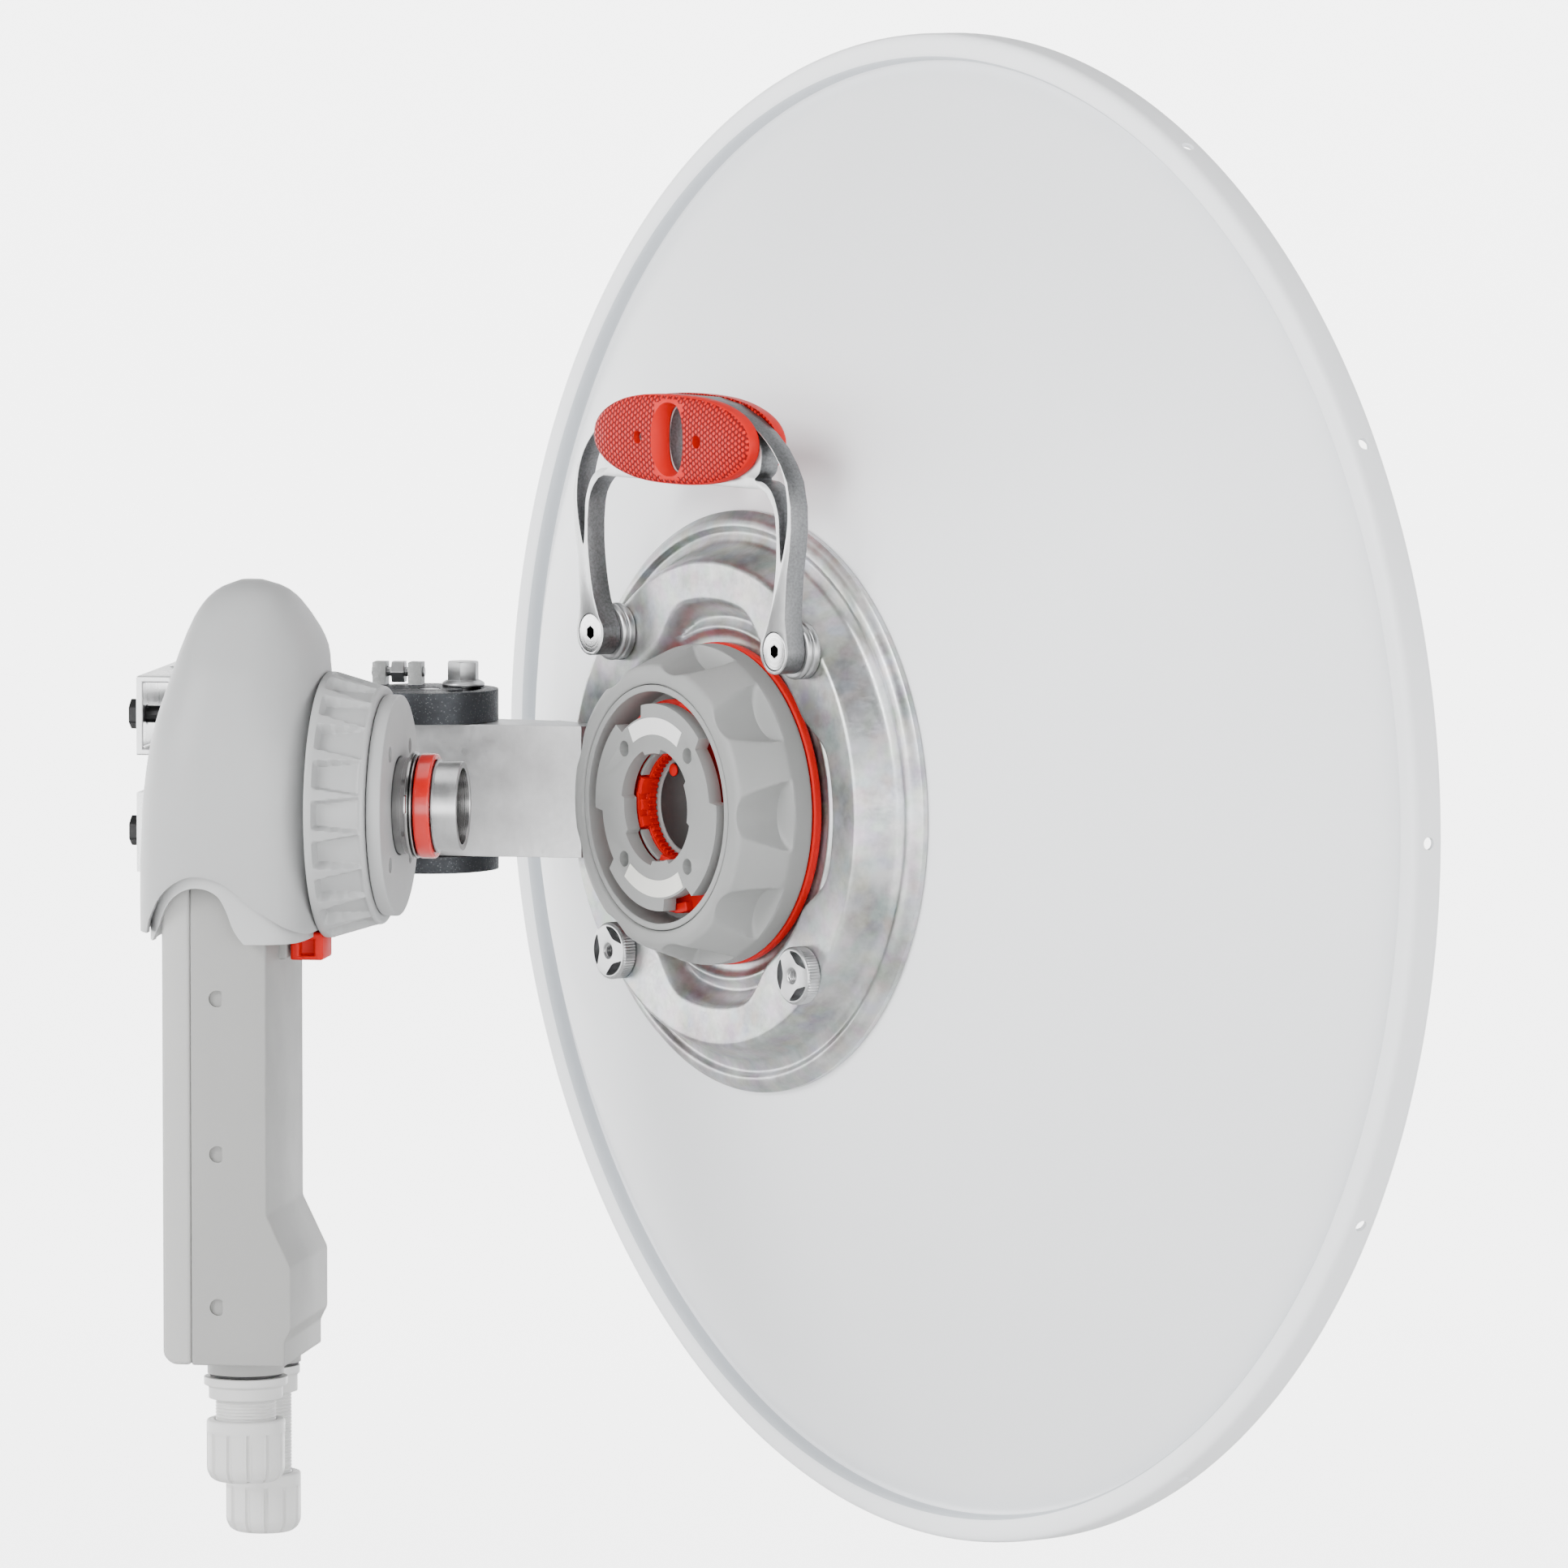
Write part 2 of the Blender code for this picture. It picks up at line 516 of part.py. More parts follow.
def make_clevis():
    """Casting with two round ears for the arm, a back wall and the elevation barrel."""
    pivot = (PIVOT_S, POLE_T)
    ear = arc(pivot, EAR_RADIUS, 38, 322, 16)
    ear = [(0.1070, ear[0][1])] + ear + [(0.1070, ear[-1][1])]
    side_low, side_high = ear[-1][1], ear[0][1]
    top = plate_mesh([ear], ARM_HALF_HEIGHT + GAP, 0.0445)
    clevis = link("clevis", top, CASTING, ARM_FRAME)
    low = plate_mesh([ear], -0.0375, -ARM_HALF_HEIGHT - GAP)
    combine(clevis, link("lower_ear", low, None, ARM_FRAME), "UNION")
    add_box(clevis, ARM_FRAME, (0.1009, side_low + 0.0008, -0.0370),
            (0.1066, side_high - 0.0008, 0.0440))
    barrel = rod_mesh(BARREL_RADIUS, side_low + 0.001, side_high - 0.001, 20)
    combine(clevis, link("barrel", barrel, None, ARM_FRAME, (ELEVATION_S, 0, 0), TO_Y), "UNION")
    add_box(clevis, ARM_FRAME, (0.1012, side_low + 0.0012, -0.0105),
            (ELEVATION_S, side_high - 0.0012, 0.0105))
    for start in (0.0805, 0.0970):
        add_box(clevis, ARM_FRAME, (start, -0.0465, 0.0400), (start + 0.006, -0.0365, 0.0550))
    slot = arc(pivot, 0.0239, 258, 126, 8) + arc(pivot, 0.0151, 126, 258, 8)
    tool = plate_mesh([slot], 0.028, 0.060)
    combine(clevis, link("arc_slot", tool, None, ARM_FRAME))
    cut_rod(clevis, ARM_FRAME, (PIVOT_S, POLE_T, 0), (0, 0, 0), 0.0053, -0.06, 0.08)
    cut_rod(clevis, ARM_FRAME, (ELEVATION_S, 0, 0), TO_Y, 0.0063, -0.07, 0.03, 16)
    screw_place = (0.0, -0.0415, 0.0505)
    cut_rod(clevis, ARM_FRAME, screw_place, TO_X, 0.0026, 0.07, 0.11, 10)

    pin = rod_mesh(0.0050, -0.0373, 0.0443, 14)
    link("azimuth_pin", pin, STAINLESS, ARM_FRAME, (PIVOT_S, POLE_T, 0))
    clamp = clamp_place()
    profile = [(0, 0.0475), (0.0098, 0.0475), (0.0098, 0.0448), (0.0040, 0.0448),
               (0.0040, 0.0190), (0, 0.0190)]
    bolt = turned("azimuth_clamp_bolt", profile, STAINLESS, ARM_FRAME, (0, 0, 0),
                  (*clamp, 0), 14, False)
    head = link("hex", rod_mesh(0.0075, 0.046, 0.0560, 6), None, ARM_FRAME, (*clamp, 0))
    combine(bolt, head, "UNION")
    nut = link("azimuth_clamp_nut", rod_mesh(0.0075, 0.0205, 0.0267, 6), STAINLESS, ARM_FRAME,
               (*clamp, 0))
    cut_rod(nut, ARM_FRAME, (*clamp, 0), (0, 0, 0), 0.0043, 0.01, 0.04)
    screw = link("adjust_screw", rod_mesh(0.0022, 0.0795, 0.1040, 10), STAINLESS, ARM_FRAME,
                 screw_place, TO_X)
    head = link("hex", rod_mesh(0.0055, 0.0885, 0.0945, 6), None, ARM_FRAME, screw_place, TO_X)
    combine(screw, head, "UNION")


def make_clamp():
    """Block with a V for the pole and two cheeks for the elevation bolt, and its two jaws."""
    vee = math.tan(math.radians(70))
    apex = POLE_S - POLE_RADIUS / math.sin(math.radians(70)) - 2 * GAP
    wing = 0.1430
    reach = (wing - apex) * vee
    outline = [(0.1250, -0.0493), (0.1250, 0.0053), (0.1335, 0.032), (wing, 0.032),
               (wing, POLE_T + reach), (apex, POLE_T), (wing, POLE_T - reach),
               (wing, -0.076), (0.1335, -0.076)]
    block = link("clamp_block", plate_mesh([outline], -0.038, 0.055), CASTING, ARM_FRAME)
    cheek = [(0.1275, -0.015), (0.1275, 0.015)] + arc((ELEVATION_S, 0), BARREL_RADIUS, 90, 270, 12)
    for low in (-0.0493, -0.0007):
        tool = plate_mesh([cheek], low, low + 0.006)
        for vertex in tool.vertices:
            s, z, t = vertex.co
            vertex.co = (s, t, z)
        tool.flip_normals()
        combine(block, link("cheek", tool, None, ARM_FRAME), "UNION")
    cut_rod(block, ARM_FRAME, (ELEVATION_S, 0, 0), TO_Y, 0.0063, -0.07, 0.03, 16)
    places = [(POLE_T + across, z) for z in (0.035, -0.018) for across in (-0.046, 0.046)]
    for t, z in places:
        cut_rod(block, ARM_FRAME, (0, t, z), TO_X, 0.0044, 0.12, 0.16)

    bolt = link("elevation_bolt", rod_mesh(0.0060, -0.0600, 0.0056 + 0.001, 16), STAINLESS,
                ARM_FRAME, (ELEVATION_S, 0, 0), TO_Y)
    head = link("hex", rod_mesh(0.0104, 0.0056, 0.0126, 6), None, ARM_FRAME,
                (ELEVATION_S, 0, 0), TO_Y)
    combine(bolt, head, "UNION")
    nut = link("elevation_nut", rod_mesh(0.0104, -0.0586, -0.0496, 6), STAINLESS, ARM_FRAME,
               (ELEVATION_S, 0, 0), TO_Y)
    cut_rod(nut, ARM_FRAME, (ELEVATION_S, 0, 0), TO_Y, 0.0063, -0.07, -0.04, 16)

    grip = POLE_S + POLE_RADIUS / math.sin(math.radians(70)) + 2 * GAP
    near, far = 0.1825, 0.1985
    mouth = (grip - near) * vee
    for name, middle, first in (("upper", 0.035, 0), ("lower", -0.018, 2)):
        low, high = middle - 0.018, middle + 0.018
        jaw = link("jaw_" + name, box_mesh((near, -0.078, low), (far, 0.034, high)),
                   STAINLESS, ARM_FRAME)
        notch = [(near - 0.01, POLE_T - mouth - 0.01 * vee), (grip, POLE_T),
                 (near - 0.01, POLE_T + mouth + 0.01 * vee)]
        combine(jaw, link("notch", plate_mesh([notch], low - 0.01, high + 0.01), None, ARM_FRAME))
        add_box(jaw, ARM_FRAME, (near - 0.01, -0.10, low + SHEET), (far - SHEET, 0.06,
                                                                  high - SHEET), "DIFFERENCE")
        for k in range(2):
            t, z = places[first + k]
            cut_rod(jaw, ARM_FRAME, (0, t, z), TO_X, 0.0043, 0.18, 0.22)
            shank = rod_mesh(0.0040, 0.1260, far + 0.001, 12)
            name_bolt = "jaw_bolt_" + name + ("_far", "_near")[k]
            clamp = link(name_bolt, shank, BLACK_STEEL, ARM_FRAME, (0, t, z), TO_X)
            head = rod_mesh(0.0070, far + GAP, far + 0.0045, 6, turn=math.pi / 6)
            combine(clamp, link("hex", head, None, ARM_FRAME, (0, t, z), TO_X), "UNION")


def make_adaptor():
    """Port adaptor: steel tube with its O-ring, flange, ribbed locking ring."""
    tube = [(TUBE_BORE, 0), (0.0198, 0), (0.0198, 0.0106), (0.0212, 0.0110), (0.0200, 0.0113),
            (0.0200, 0.0194), (0.0232, 0.0196), (0.0232, 0.0206), (0.0215, 0.0206),
            (0.0215, 0.0800), (TUBE_BORE, 0.0800)]
    turned("waveguide_tube", tube, STAINLESS, RADIO_FRAME, TO_X, steps=24)
    band = [(0.0203, 0.0117), (0.0233, 0.0117), (0.0233, 0.0190), (0.0203, 0.0190)]
    turned("o_ring", band, RED, RADIO_FRAME, TO_X, steps=24)
    flange = [(0.0218, 0.0285), (0.049, 0.0285), (0.049, 0.0349), (0.0425, 0.0349),
              (0.0425, 0.0720), (0.0218, 0.0720)]
    flange = turned("adaptor_flange", flange, PLASTIC, RADIO_FRAME, TO_X, steps=24)
    for y in (-0.024, 0.024):
        for z in (-0.0245, 0.0245):
            cut_rod(flange, RADIO_FRAME, (0, y, z), TO_X, 0.0036, 0.020, 0.0330, 10)
    ring = [(0.0429, 0.0353), (0.0525, 0.0353), (0.0590, 0.0580), (0.0590, 0.0611),
            (0.0429, 0.0611)]
    ring = turned("ribbed_ring", ring, PLASTIC, RADIO_FRAME, TO_X, steps=30)
    pockets = 10
    for i in range(pockets):
        turn = FULL_TURN * (i + 0.5) / pockets
        tool = link("pocket", box_mesh((0.0530, -0.0042, -0.012), (0.066, 0.0042, 0.008)), None,
                    RADIO_FRAME)
        tilt = Matrix.Rotation(math.atan2(0.0065, 0.0227), 4, "Y")
        tool.matrix_local = Matrix.Rotation(math.pi / 2, 4, "Y") @ Matrix.Rotation(
            turn, 4, "Z") @ Matrix.Translation((0, 0, 0.0465)) @ tilt
        combine(ring, tool)


HOOD_LEVELS = (  # height, front, back, half width
    (-0.054, 0.0615, 0.1412, 0.0560), (-0.020, 0.0615, 0.1408, 0.0580),
    (0.010, 0.0615, 0.1390, 0.0575), (0.035, 0.0615, 0.1350, 0.0540),
    (0.0594, 0.0615, 0.1275, 0.0460), (0.0606, 0.0560, 0.1270, 0.0455),
    (0.072, 0.0610, 0.1235, 0.0390),
    (0.087, 0.0710, 0.1170, 0.0285), (0.096, 0.0800, 0.1090, 0.0165),
    (0.100, 0.0900, 0.1000, 0.0060))


def hood_rings(inset):
    rings = []
    sides = 20
    for height, front, back, width in HOOD_LEVELS:
        middle, depth = (front + back) / 2, (back - front) / 2 - inset
        width = width - inset
        if depth <= 0.001 or width <= 0.001:
            continue
        ring = []
        for i in range(sides):
            turn = FULL_TURN * i / sides
            c, s = math.cos(turn), math.sin(turn)
            power = 0.5 if c > 0 else 0.75
            ring.append((middle + math.copysign(abs(c) ** power, c) * depth,
                         math.copysign(abs(s) ** power, s) * width, height - 0.5 * inset))
        rings.append(ring)
    return rings


def make_hood():
    """Deep cowl over the radio's top, open below, with its latch."""
    wall = 0.003
    hood = link("hood", loft_mesh(hood_rings(0.0)), PLASTIC, RADIO_FRAME)
    inner = hood_rings(wall)
    inner[0] = [(x, y, -0.0500) for x, y, z in inner[0]]
    combine(hood, link("cavity", loft_mesh(inner), None, RADIO_FRAME))
    add_box(hood, RADIO_FRAME, (0.0770, -0.0465, -0.070), (0.1335, 0.0465, -0.040), "DIFFERENCE")
    cut_rod(hood, RADIO_FRAME, (0, 0, 0), TO_X, 0.0429, 0.050, 0.0735, 24)
    arch = link("arch", rod_mesh(0.031, -0.08, 0.08, 16), None, RADIO_FRAME,
                (0.1050, 0, -0.0600), TO_Y)
    combine(hood, arch)
    add_box(hood, RADIO_FRAME, (0.0650, -0.0063, -0.060), (0.0723, 0.0063, -0.045), "DIFFERENCE")
    latch = link("latch_button", box_mesh((0.0615, -0.0110, -0.0685), (0.0762, 0.0110, -0.0560)),
                 RED, RADIO_FRAME)
    add_box(latch, RADIO_FRAME, (0.0653, -0.0060, -0.058), (0.0720, 0.0060, -0.0470))


def make_radio():
    """Radio box of two shells, with its board and two cable glands."""
    half = RADIO_HALF_WIDTH
    side = [(RADIO_SEAM - GAP, RADIO_BASE), (RADIO_SEAM - GAP, RADIO_TOP), (0.0830, RADIO_TOP),
            (0.0810, 0.0220), (0.0810, -0.1790), (0.0700, -0.2020), (0.0700, -0.2290),
            (0.0730, -0.2350), (0.0730, RADIO_BASE)]
    front = side_plate(side, -half, half)
    shell = link("radio_front_shell", front, RADIO, RADIO_FRAME)
    add_box(shell, RADIO_FRAME, (0.0775, -0.012, -0.0680), (0.0830, 0.012, -0.0580))
    for y in GLAND_SIDES:
        tool = link("boss", rod_mesh(0.0170, -0.2525, -0.2400, 16), None, RADIO_FRAME,
                    (GLAND_X, y, 0))
        combine(shell, tool, "UNION")
    add_box(shell, RADIO_FRAME, (0.0850, -half + 0.004, -0.2300), (0.1200, half - 0.004, 0.0200),
            "DIFFERENCE")
    for y in GLAND_SIDES:
        cut_rod(shell, RADIO_FRAME, (GLAND_X, y, 0), (0, 0, 0), 0.0115, -0.26, -0.22, 16)
    for z in SCREW_HEIGHTS:
        cut_rod(shell, RADIO_FRAME, (0.1040, half, z), TO_Y, 0.0032, -0.003, 0.003, 10)
        cut_rod(shell, RADIO_FRAME, (0.1040, -half, z), TO_Y, 0.0032, -0.003, 0.003, 10)
    back = [(RADIO_SEAM, RADIO_BASE), (0.1240, RADIO_BASE), (0.1280, -0.2420), (0.1280, 0.0210),
            (0.1250, RADIO_TOP), (RADIO_SEAM, RADIO_TOP)]
    shell = link("radio_rear_shell", side_plate(back, -half, half), RADIO, RADIO_FRAME)
    add_box(shell, RADIO_FRAME, (0.1100, -half + 0.004, -0.2300), (0.1240, half - 0.004, 0.0200),
            "DIFFERENCE")
    board = box_mesh((0.1050, -half + 0.006, -0.2200), (0.1066, half - 0.006, 0.0160))
    link("circuit_board", board, BOARD, RADIO_FRAME)

    make_gland("1", 0.013, [(0.0112, -0.2540), (0.0186, -0.2540), (0.0186, -0.2575),
                            (0.0165, -0.2585), (0.0165, -0.2630), (0.0135, -0.2640),
                            (0.0135, -0.2900), (0.0080, -0.2900), (0.0080, -0.2600)],
               0.0175, -0.2730, -0.3010)
    make_gland("2", -0.027, [(0.0112, -0.2540), (0.0165, -0.2540), (0.0165, -0.2575),
                             (0.0155, -0.2585), (0.0155, -0.2650), (0.0128, -0.2660),
                             (0.0128, -0.3180), (0.0080, -0.3180), (0.0080, -0.2600)],
               0.0168, -0.3020, -0.3290)


def side_plate(outline, low, high):
    """An outline in X and Z, as thick as low to high along Y."""
    mesh = plate_mesh([outline], low, high)
    for vertex in mesh.vertices:
        x, z, y = vertex.co
        vertex.co = (x, y, z)
    mesh.flip_normals()
    return mesh


def make_gland(number, y, profile, nut_radius, nut_top, nut_bottom):
    place = (GLAND_X, y, 0)
    turned("gland_body_" + number, profile, GLAND, RADIO_FRAME, (0, 0, 0), place, 16)
    gasket = [(0.0118, -0.2528), (0.0160, -0.2528), (0.0160, -0.2537), (0.0118, -0.2537)]
    turned("gland_gasket_" + number, gasket, RUBBER, RADIO_FRAME, (0, 0, 0), place, 16)
    bore = profile[5][0] + GAP
    cap = [(bore, nut_top), (nut_radius, nut_top), (nut_radius, nut_bottom + 0.006),
           (nut_radius - 0.003, nut_bottom), (0.0070, nut_bottom), (0.0070, nut_bottom + 0.004),
           (bore, nut_bottom + 0.006)]
    turned("gland_nut_" + number, cap, GLAND, RADIO_FRAME, (0, 0, 0), place, 16)


make_reflector()
make_back_plate()
make_front_ring()
make_slotted_bolts()
make_port()
make_feed()
make_handle()
make_arm()
make_clevis()
make_clamp()
make_adaptor()
make_hood()
make_radio()
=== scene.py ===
"""Looks of the parabolic dish with its pole mount, handle and plug-in radio.

Every place is in metres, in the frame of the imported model: +Z up, the pole on the Z axis.
Pieces are built in the same local frames as their CAD nodes and then moved into place.
"""
import math

import bmesh
import bpy
from mathutils import Matrix, Vector


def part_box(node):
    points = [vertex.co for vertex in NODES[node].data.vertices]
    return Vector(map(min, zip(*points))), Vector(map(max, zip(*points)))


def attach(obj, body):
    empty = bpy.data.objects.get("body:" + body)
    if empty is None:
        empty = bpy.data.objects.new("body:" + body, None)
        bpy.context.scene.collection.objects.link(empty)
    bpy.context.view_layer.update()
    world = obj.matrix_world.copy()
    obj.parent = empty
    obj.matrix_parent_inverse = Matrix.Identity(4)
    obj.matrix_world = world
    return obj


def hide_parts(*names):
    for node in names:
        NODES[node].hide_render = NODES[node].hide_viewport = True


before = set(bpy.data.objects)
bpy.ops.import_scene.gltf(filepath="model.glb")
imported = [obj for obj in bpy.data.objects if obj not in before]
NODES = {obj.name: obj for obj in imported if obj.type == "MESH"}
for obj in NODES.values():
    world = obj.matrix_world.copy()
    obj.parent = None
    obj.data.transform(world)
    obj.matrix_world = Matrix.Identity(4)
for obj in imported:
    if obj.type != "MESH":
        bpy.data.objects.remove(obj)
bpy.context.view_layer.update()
FULL_TURN = 2 * math.pi

# ---------------------------------------------------------------- frames

MOUNT_YAW = math.radians(45)
POLE_S, POLE_T = 0.1615, -0.022
PIVOT_S = 0.0739
ARM_FACE = 0.030
RADIO_FROM_PORT = Vector((0.0, 0.104, 0.006))

wheel_low, wheel_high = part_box("hand_wheel")
PORT = Vector(((wheel_low.x + wheel_high.x) / 2, wheel_high.y, (wheel_low.z + wheel_high.z) / 2))
YAW = Matrix.Rotation(MOUNT_YAW, 4, "Z")
DISH = Matrix.Translation(PORT) @ Matrix(((-1, 0, 0, 0), (0, 0, 1, 0), (0, 1, 0, 0), (0, 0, 0, 1)))
ARM = YAW @ Matrix.Translation((-POLE_S, -POLE_T, 0))
RADIO = Matrix.Translation(PORT + RADIO_FROM_PORT) @ YAW
AXIS_X = Matrix.Rotation(math.pi / 2, 4, "Y")
AXIS_Y = Matrix.Rotation(-math.pi / 2, 4, "X")

# Dish, from its axis: X to the right seen from behind, Y up, Z out of the back.
RIM_RADIUS, WALL_RADIUS = 0.343, 0.331
RIM_BACK, RIM_FRONT = -0.1594, -0.1745
RADOME_HEIGHT, RADOME_COUNT = -0.1674, 12
FOCAL_LENGTH, BOWL_VERTEX, BOWL_THICKNESS = 0.2024, -0.034, 0.002
HUB_RADIUS, HUB_HOLE = 0.095, 0.060
BOSS_X, BOSS_UP, BOSS_DOWN = 0.0705, 0.0736, -0.0714
BOSS_FACE, RAISED_RING, BOLT_HOLE = -0.0243, -0.031, 0.0056
WHEEL_RADIUS, WHEEL_BORE, SCOOPS = 0.072, 0.0553, 9
HANDLE_BACK, HANDLE_FRONT = -0.0145, -0.0240
GRIP_CENTRE, GRIP_SCREW_X = 0.1645, 0.0225
BOSSES = [(x, y) for y in (BOSS_UP, BOSS_DOWN) for x in (-BOSS_X, BOSS_X)]

# Radio, from the tube's mouth: X back to the hood, Y to the side, Z up.
HALF_WIDTH = 0.043
GLAND_X, GLAND_SIDES = 0.0965, (0.013, -0.027)
SEAM = 0.115


# ---------------------------------------------------------------- materials

class Shader:
    """A Principled material under construction."""

    def __init__(self, name, roughness, metallic=0.0, specular=0.5):
        self.material = bpy.data.materials.new(name)
        self.material.use_nodes = True
        self.nodes = self.material.node_tree.nodes
        self.links = self.material.node_tree.links
        self.base = self.nodes["Principled BSDF"]
        self.base.inputs["Roughness"].default_value = roughness
        self.base.inputs["Metallic"].default_value = metallic
        self.base.inputs["Specular IOR Level"].default_value = specular
        self.place = self.nodes.new("ShaderNodeTexCoord").outputs["Object"]

    def join(self, source, target):
        self.links.new(source, target)

    def mapped(self, scale=(1, 1, 1), turn=(0, 0, 0), centre=(0, 0, 0)):
        """Coordinates moved to a centre, turned and stretched."""
        shift = self.nodes.new("ShaderNodeVectorMath")
        shift.operation = "SUBTRACT"
        self.join(self.place, shift.inputs[0])
        shift.inputs[1].default_value = centre
        made = self.nodes.new("ShaderNodeMapping")
        self.join(shift.outputs[0], made.inputs["Vector"])
        made.inputs["Rotation"].default_value = turn
        made.inputs["Scale"].default_value = scale
        return made.outputs[0]

    def split(self, vector):
        """The three coordinates of a vector."""
        made = self.nodes.new("ShaderNodeSeparateXYZ")
        self.join(vector, made.inputs[0])
        return made.outputs

    def radius(self, *across):
        """Distance from an axis, out of the two coordinates across it."""
        squares = [self.math("POWER", value, 2.0) for value in across]
        return self.math("POWER", self.math("ADD", *squares), 0.5)

    def noise(self, scale, detail=3, where=None, roughness=0.55):
        made = self.nodes.new("ShaderNodeTexNoise")
        made.inputs["Scale"].default_value = scale
        made.inputs["Detail"].default_value = detail
        made.inputs["Roughness"].default_value = roughness
        self.join(where or self.place, made.inputs["Vector"])
        return made.outputs["Fac"]

    def cells(self, scale, where=None, smooth=False):
        made = self.nodes.new("ShaderNodeTexVoronoi")
        made.feature = "SMOOTH_F1" if smooth else "F1"
        made.inputs["Scale"].default_value = scale
        self.join(where or self.place, made.inputs["Vector"])
        return made.outputs["Color"], made.outputs["Distance"]

    def math(self, operation, first, second=0.0):
        made = self.nodes.new("ShaderNodeMath")
        made.operation = operation
        for socket, value in zip(made.inputs, (first, second)):
            if isinstance(value, (int, float)):
                socket.default_value = value
            else:
                self.join(value, socket)
        return made.outputs[0]

    def ramp(self, source, *stops):
        """Colours or greys at places from 0 to 1."""
        made = self.nodes.new("ShaderNodeValToRGB")
        while len(made.color_ramp.elements) < len(stops):
            made.color_ramp.elements.new(0.5)
        for element, (place, value) in zip(made.color_ramp.elements, stops):
            element.position = place
            colour = value if isinstance(value, tuple) else (value, value, value)
            element.color = (*colour, 1)
        self.join(source, made.inputs[0])
        return made.outputs[0]

    def mix(self, factor, first, second):
        made = self.nodes.new("ShaderNodeMix")
        made.data_type = "RGBA"
        for name, value in (("Factor", factor), ("A", first), ("B", second)):
            socket = [s for s in made.inputs if s.name == name and s.enabled][0]
            if isinstance(value, tuple):
                socket.default_value = (*value, 1)
            elif isinstance(value, float):
                socket.default_value = value
            else:
                self.join(value, socket)
        return [s for s in made.outputs if s.enabled][0]

    def bump(self, height, distance, strength=1.0):
        """Add a height, in metres once multiplied by distance, to the surface."""
        made = self.nodes.new("ShaderNodeBump")
        made.inputs["Distance"].default_value = distance
        made.inputs["Strength"].default_value = strength
        self.join(height, made.inputs["Height"])
        normal = self.base.inputs["Normal"]
        if normal.links:
            self.join(normal.links[0].from_socket, made.inputs["Normal"])
        self.join(made.outputs[0], normal)

    def colour(self, source):
        self.join(source, self.base.inputs["Base Color"])

    def rough(self, source):
        self.join(source, self.base.inputs["Roughness"])


def varied(colour, share):
    return tuple(c * share for c in colour)


def moulded(name, colour, roughness, grain=1400.0, depth=0.00002, drift=0.03, coat=0.0,
            specular=0.5):
    """Moulded plastic with a fine spark texture and a slight drift in tone."""
    made = Shader(name, roughness, specular=specular)
    drifting = made.noise(9.0, 2)
    made.colour(made.ramp(drifting, (0.3, varied(colour, 1 - drift)), (0.7, colour)))
    made.rough(made.ramp(made.noise(60.0, 4), (0.2, roughness - 0.05), (0.8, roughness + 0.05)))
    made.bump(made.noise(grain, 3), depth)
    made.base.inputs["Coat Weight"].default_value = coat
    return made.material


def paint():
    """White powder coat with faint orange peel, and painted shade in the step behind the rim."""
    white, painted_shade = (0.87, 0.885, 0.905), (0.50, 0.53, 0.56)
    step_radius, half_line = WALL_RADIUS + 0.0006, 0.0009
    made = Shader("dish_paint_fine", 0.42, specular=0.4)
    tone = made.ramp(made.noise(3.0, 2), (0.35, varied(white, 0.985)), (0.65, white))
    x, _, z = made.split(made.mapped(centre=tuple(PORT)))
    # Painted shade: the colour turns a darker blue-grey in a thin line round the step wall behind
    # the rim.
    away = made.math("ABSOLUTE", made.math("SUBTRACT", made.radius(x, z), step_radius))
    made.colour(made.mix(made.math("LESS_THAN", away, half_line), tone, painted_shade))
    made.rough(made.ramp(made.noise(25.0, 3), (0.3, 0.38), (0.7, 0.46)))
    made.bump(made.noise(420.0, 2), 0.00003)
    return made.material


def metal(name, colour, roughness, spread=0.10, stretch=(1, 1, 1), turn=(0, 0, 0), grain=900.0,
          depth=0.00001, mottle=70.0, tone=0.12, anisotropy=0.0):
    """Bare or plated metal: mottled in tone, streaked by its stretch, rough where it is dull."""
    made = Shader(name, roughness, 1.0)
    where = made.mapped(stretch, turn)
    patches = made.noise(mottle, 5, where, 0.65)
    made.colour(made.ramp(patches, (0.25, varied(colour, 1 - tone)), (0.75, colour)))
    fine = made.noise(grain, 4, where)
    both = made.math("ADD", made.math("MULTIPLY", fine, 0.5), made.math("MULTIPLY", patches, 0.5))
    made.rough(made.ramp(both, (0.3, roughness - spread), (0.7, roughness + spread)))
    made.bump(fine, depth)
    made.base.inputs["Anisotropic"].default_value = anisotropy
    return made.material


def galvanised():
    """Zinc on pressed steel: soft spangle, dull patches and a few fine scratches."""
    zinc = (0.54, 0.545, 0.55)
    made = Shader("zinc_fine", 0.36, 0.9)
    flakes = made.cells(170.0, made.mapped(), True)[0]
    patches = made.noise(24.0, 5, None, 0.7)
    tone = made.ramp(patches, (0.38, varied(zinc, 0.50)), (0.60, zinc))
    made.colour(made.mix(0.07, tone, flakes))
    scratches = made.noise(650.0, 2, made.mapped((1, 0.06, 1), (0.3, 0.5, 0.2)))
    made.rough(made.ramp(made.math("MULTIPLY", patches, scratches), (0.12, 0.30), (0.42, 0.48)))
    made.bump(made.noise(120.0, 5), 0.00006)
    made.bump(scratches, 0.00001)
    return made.material


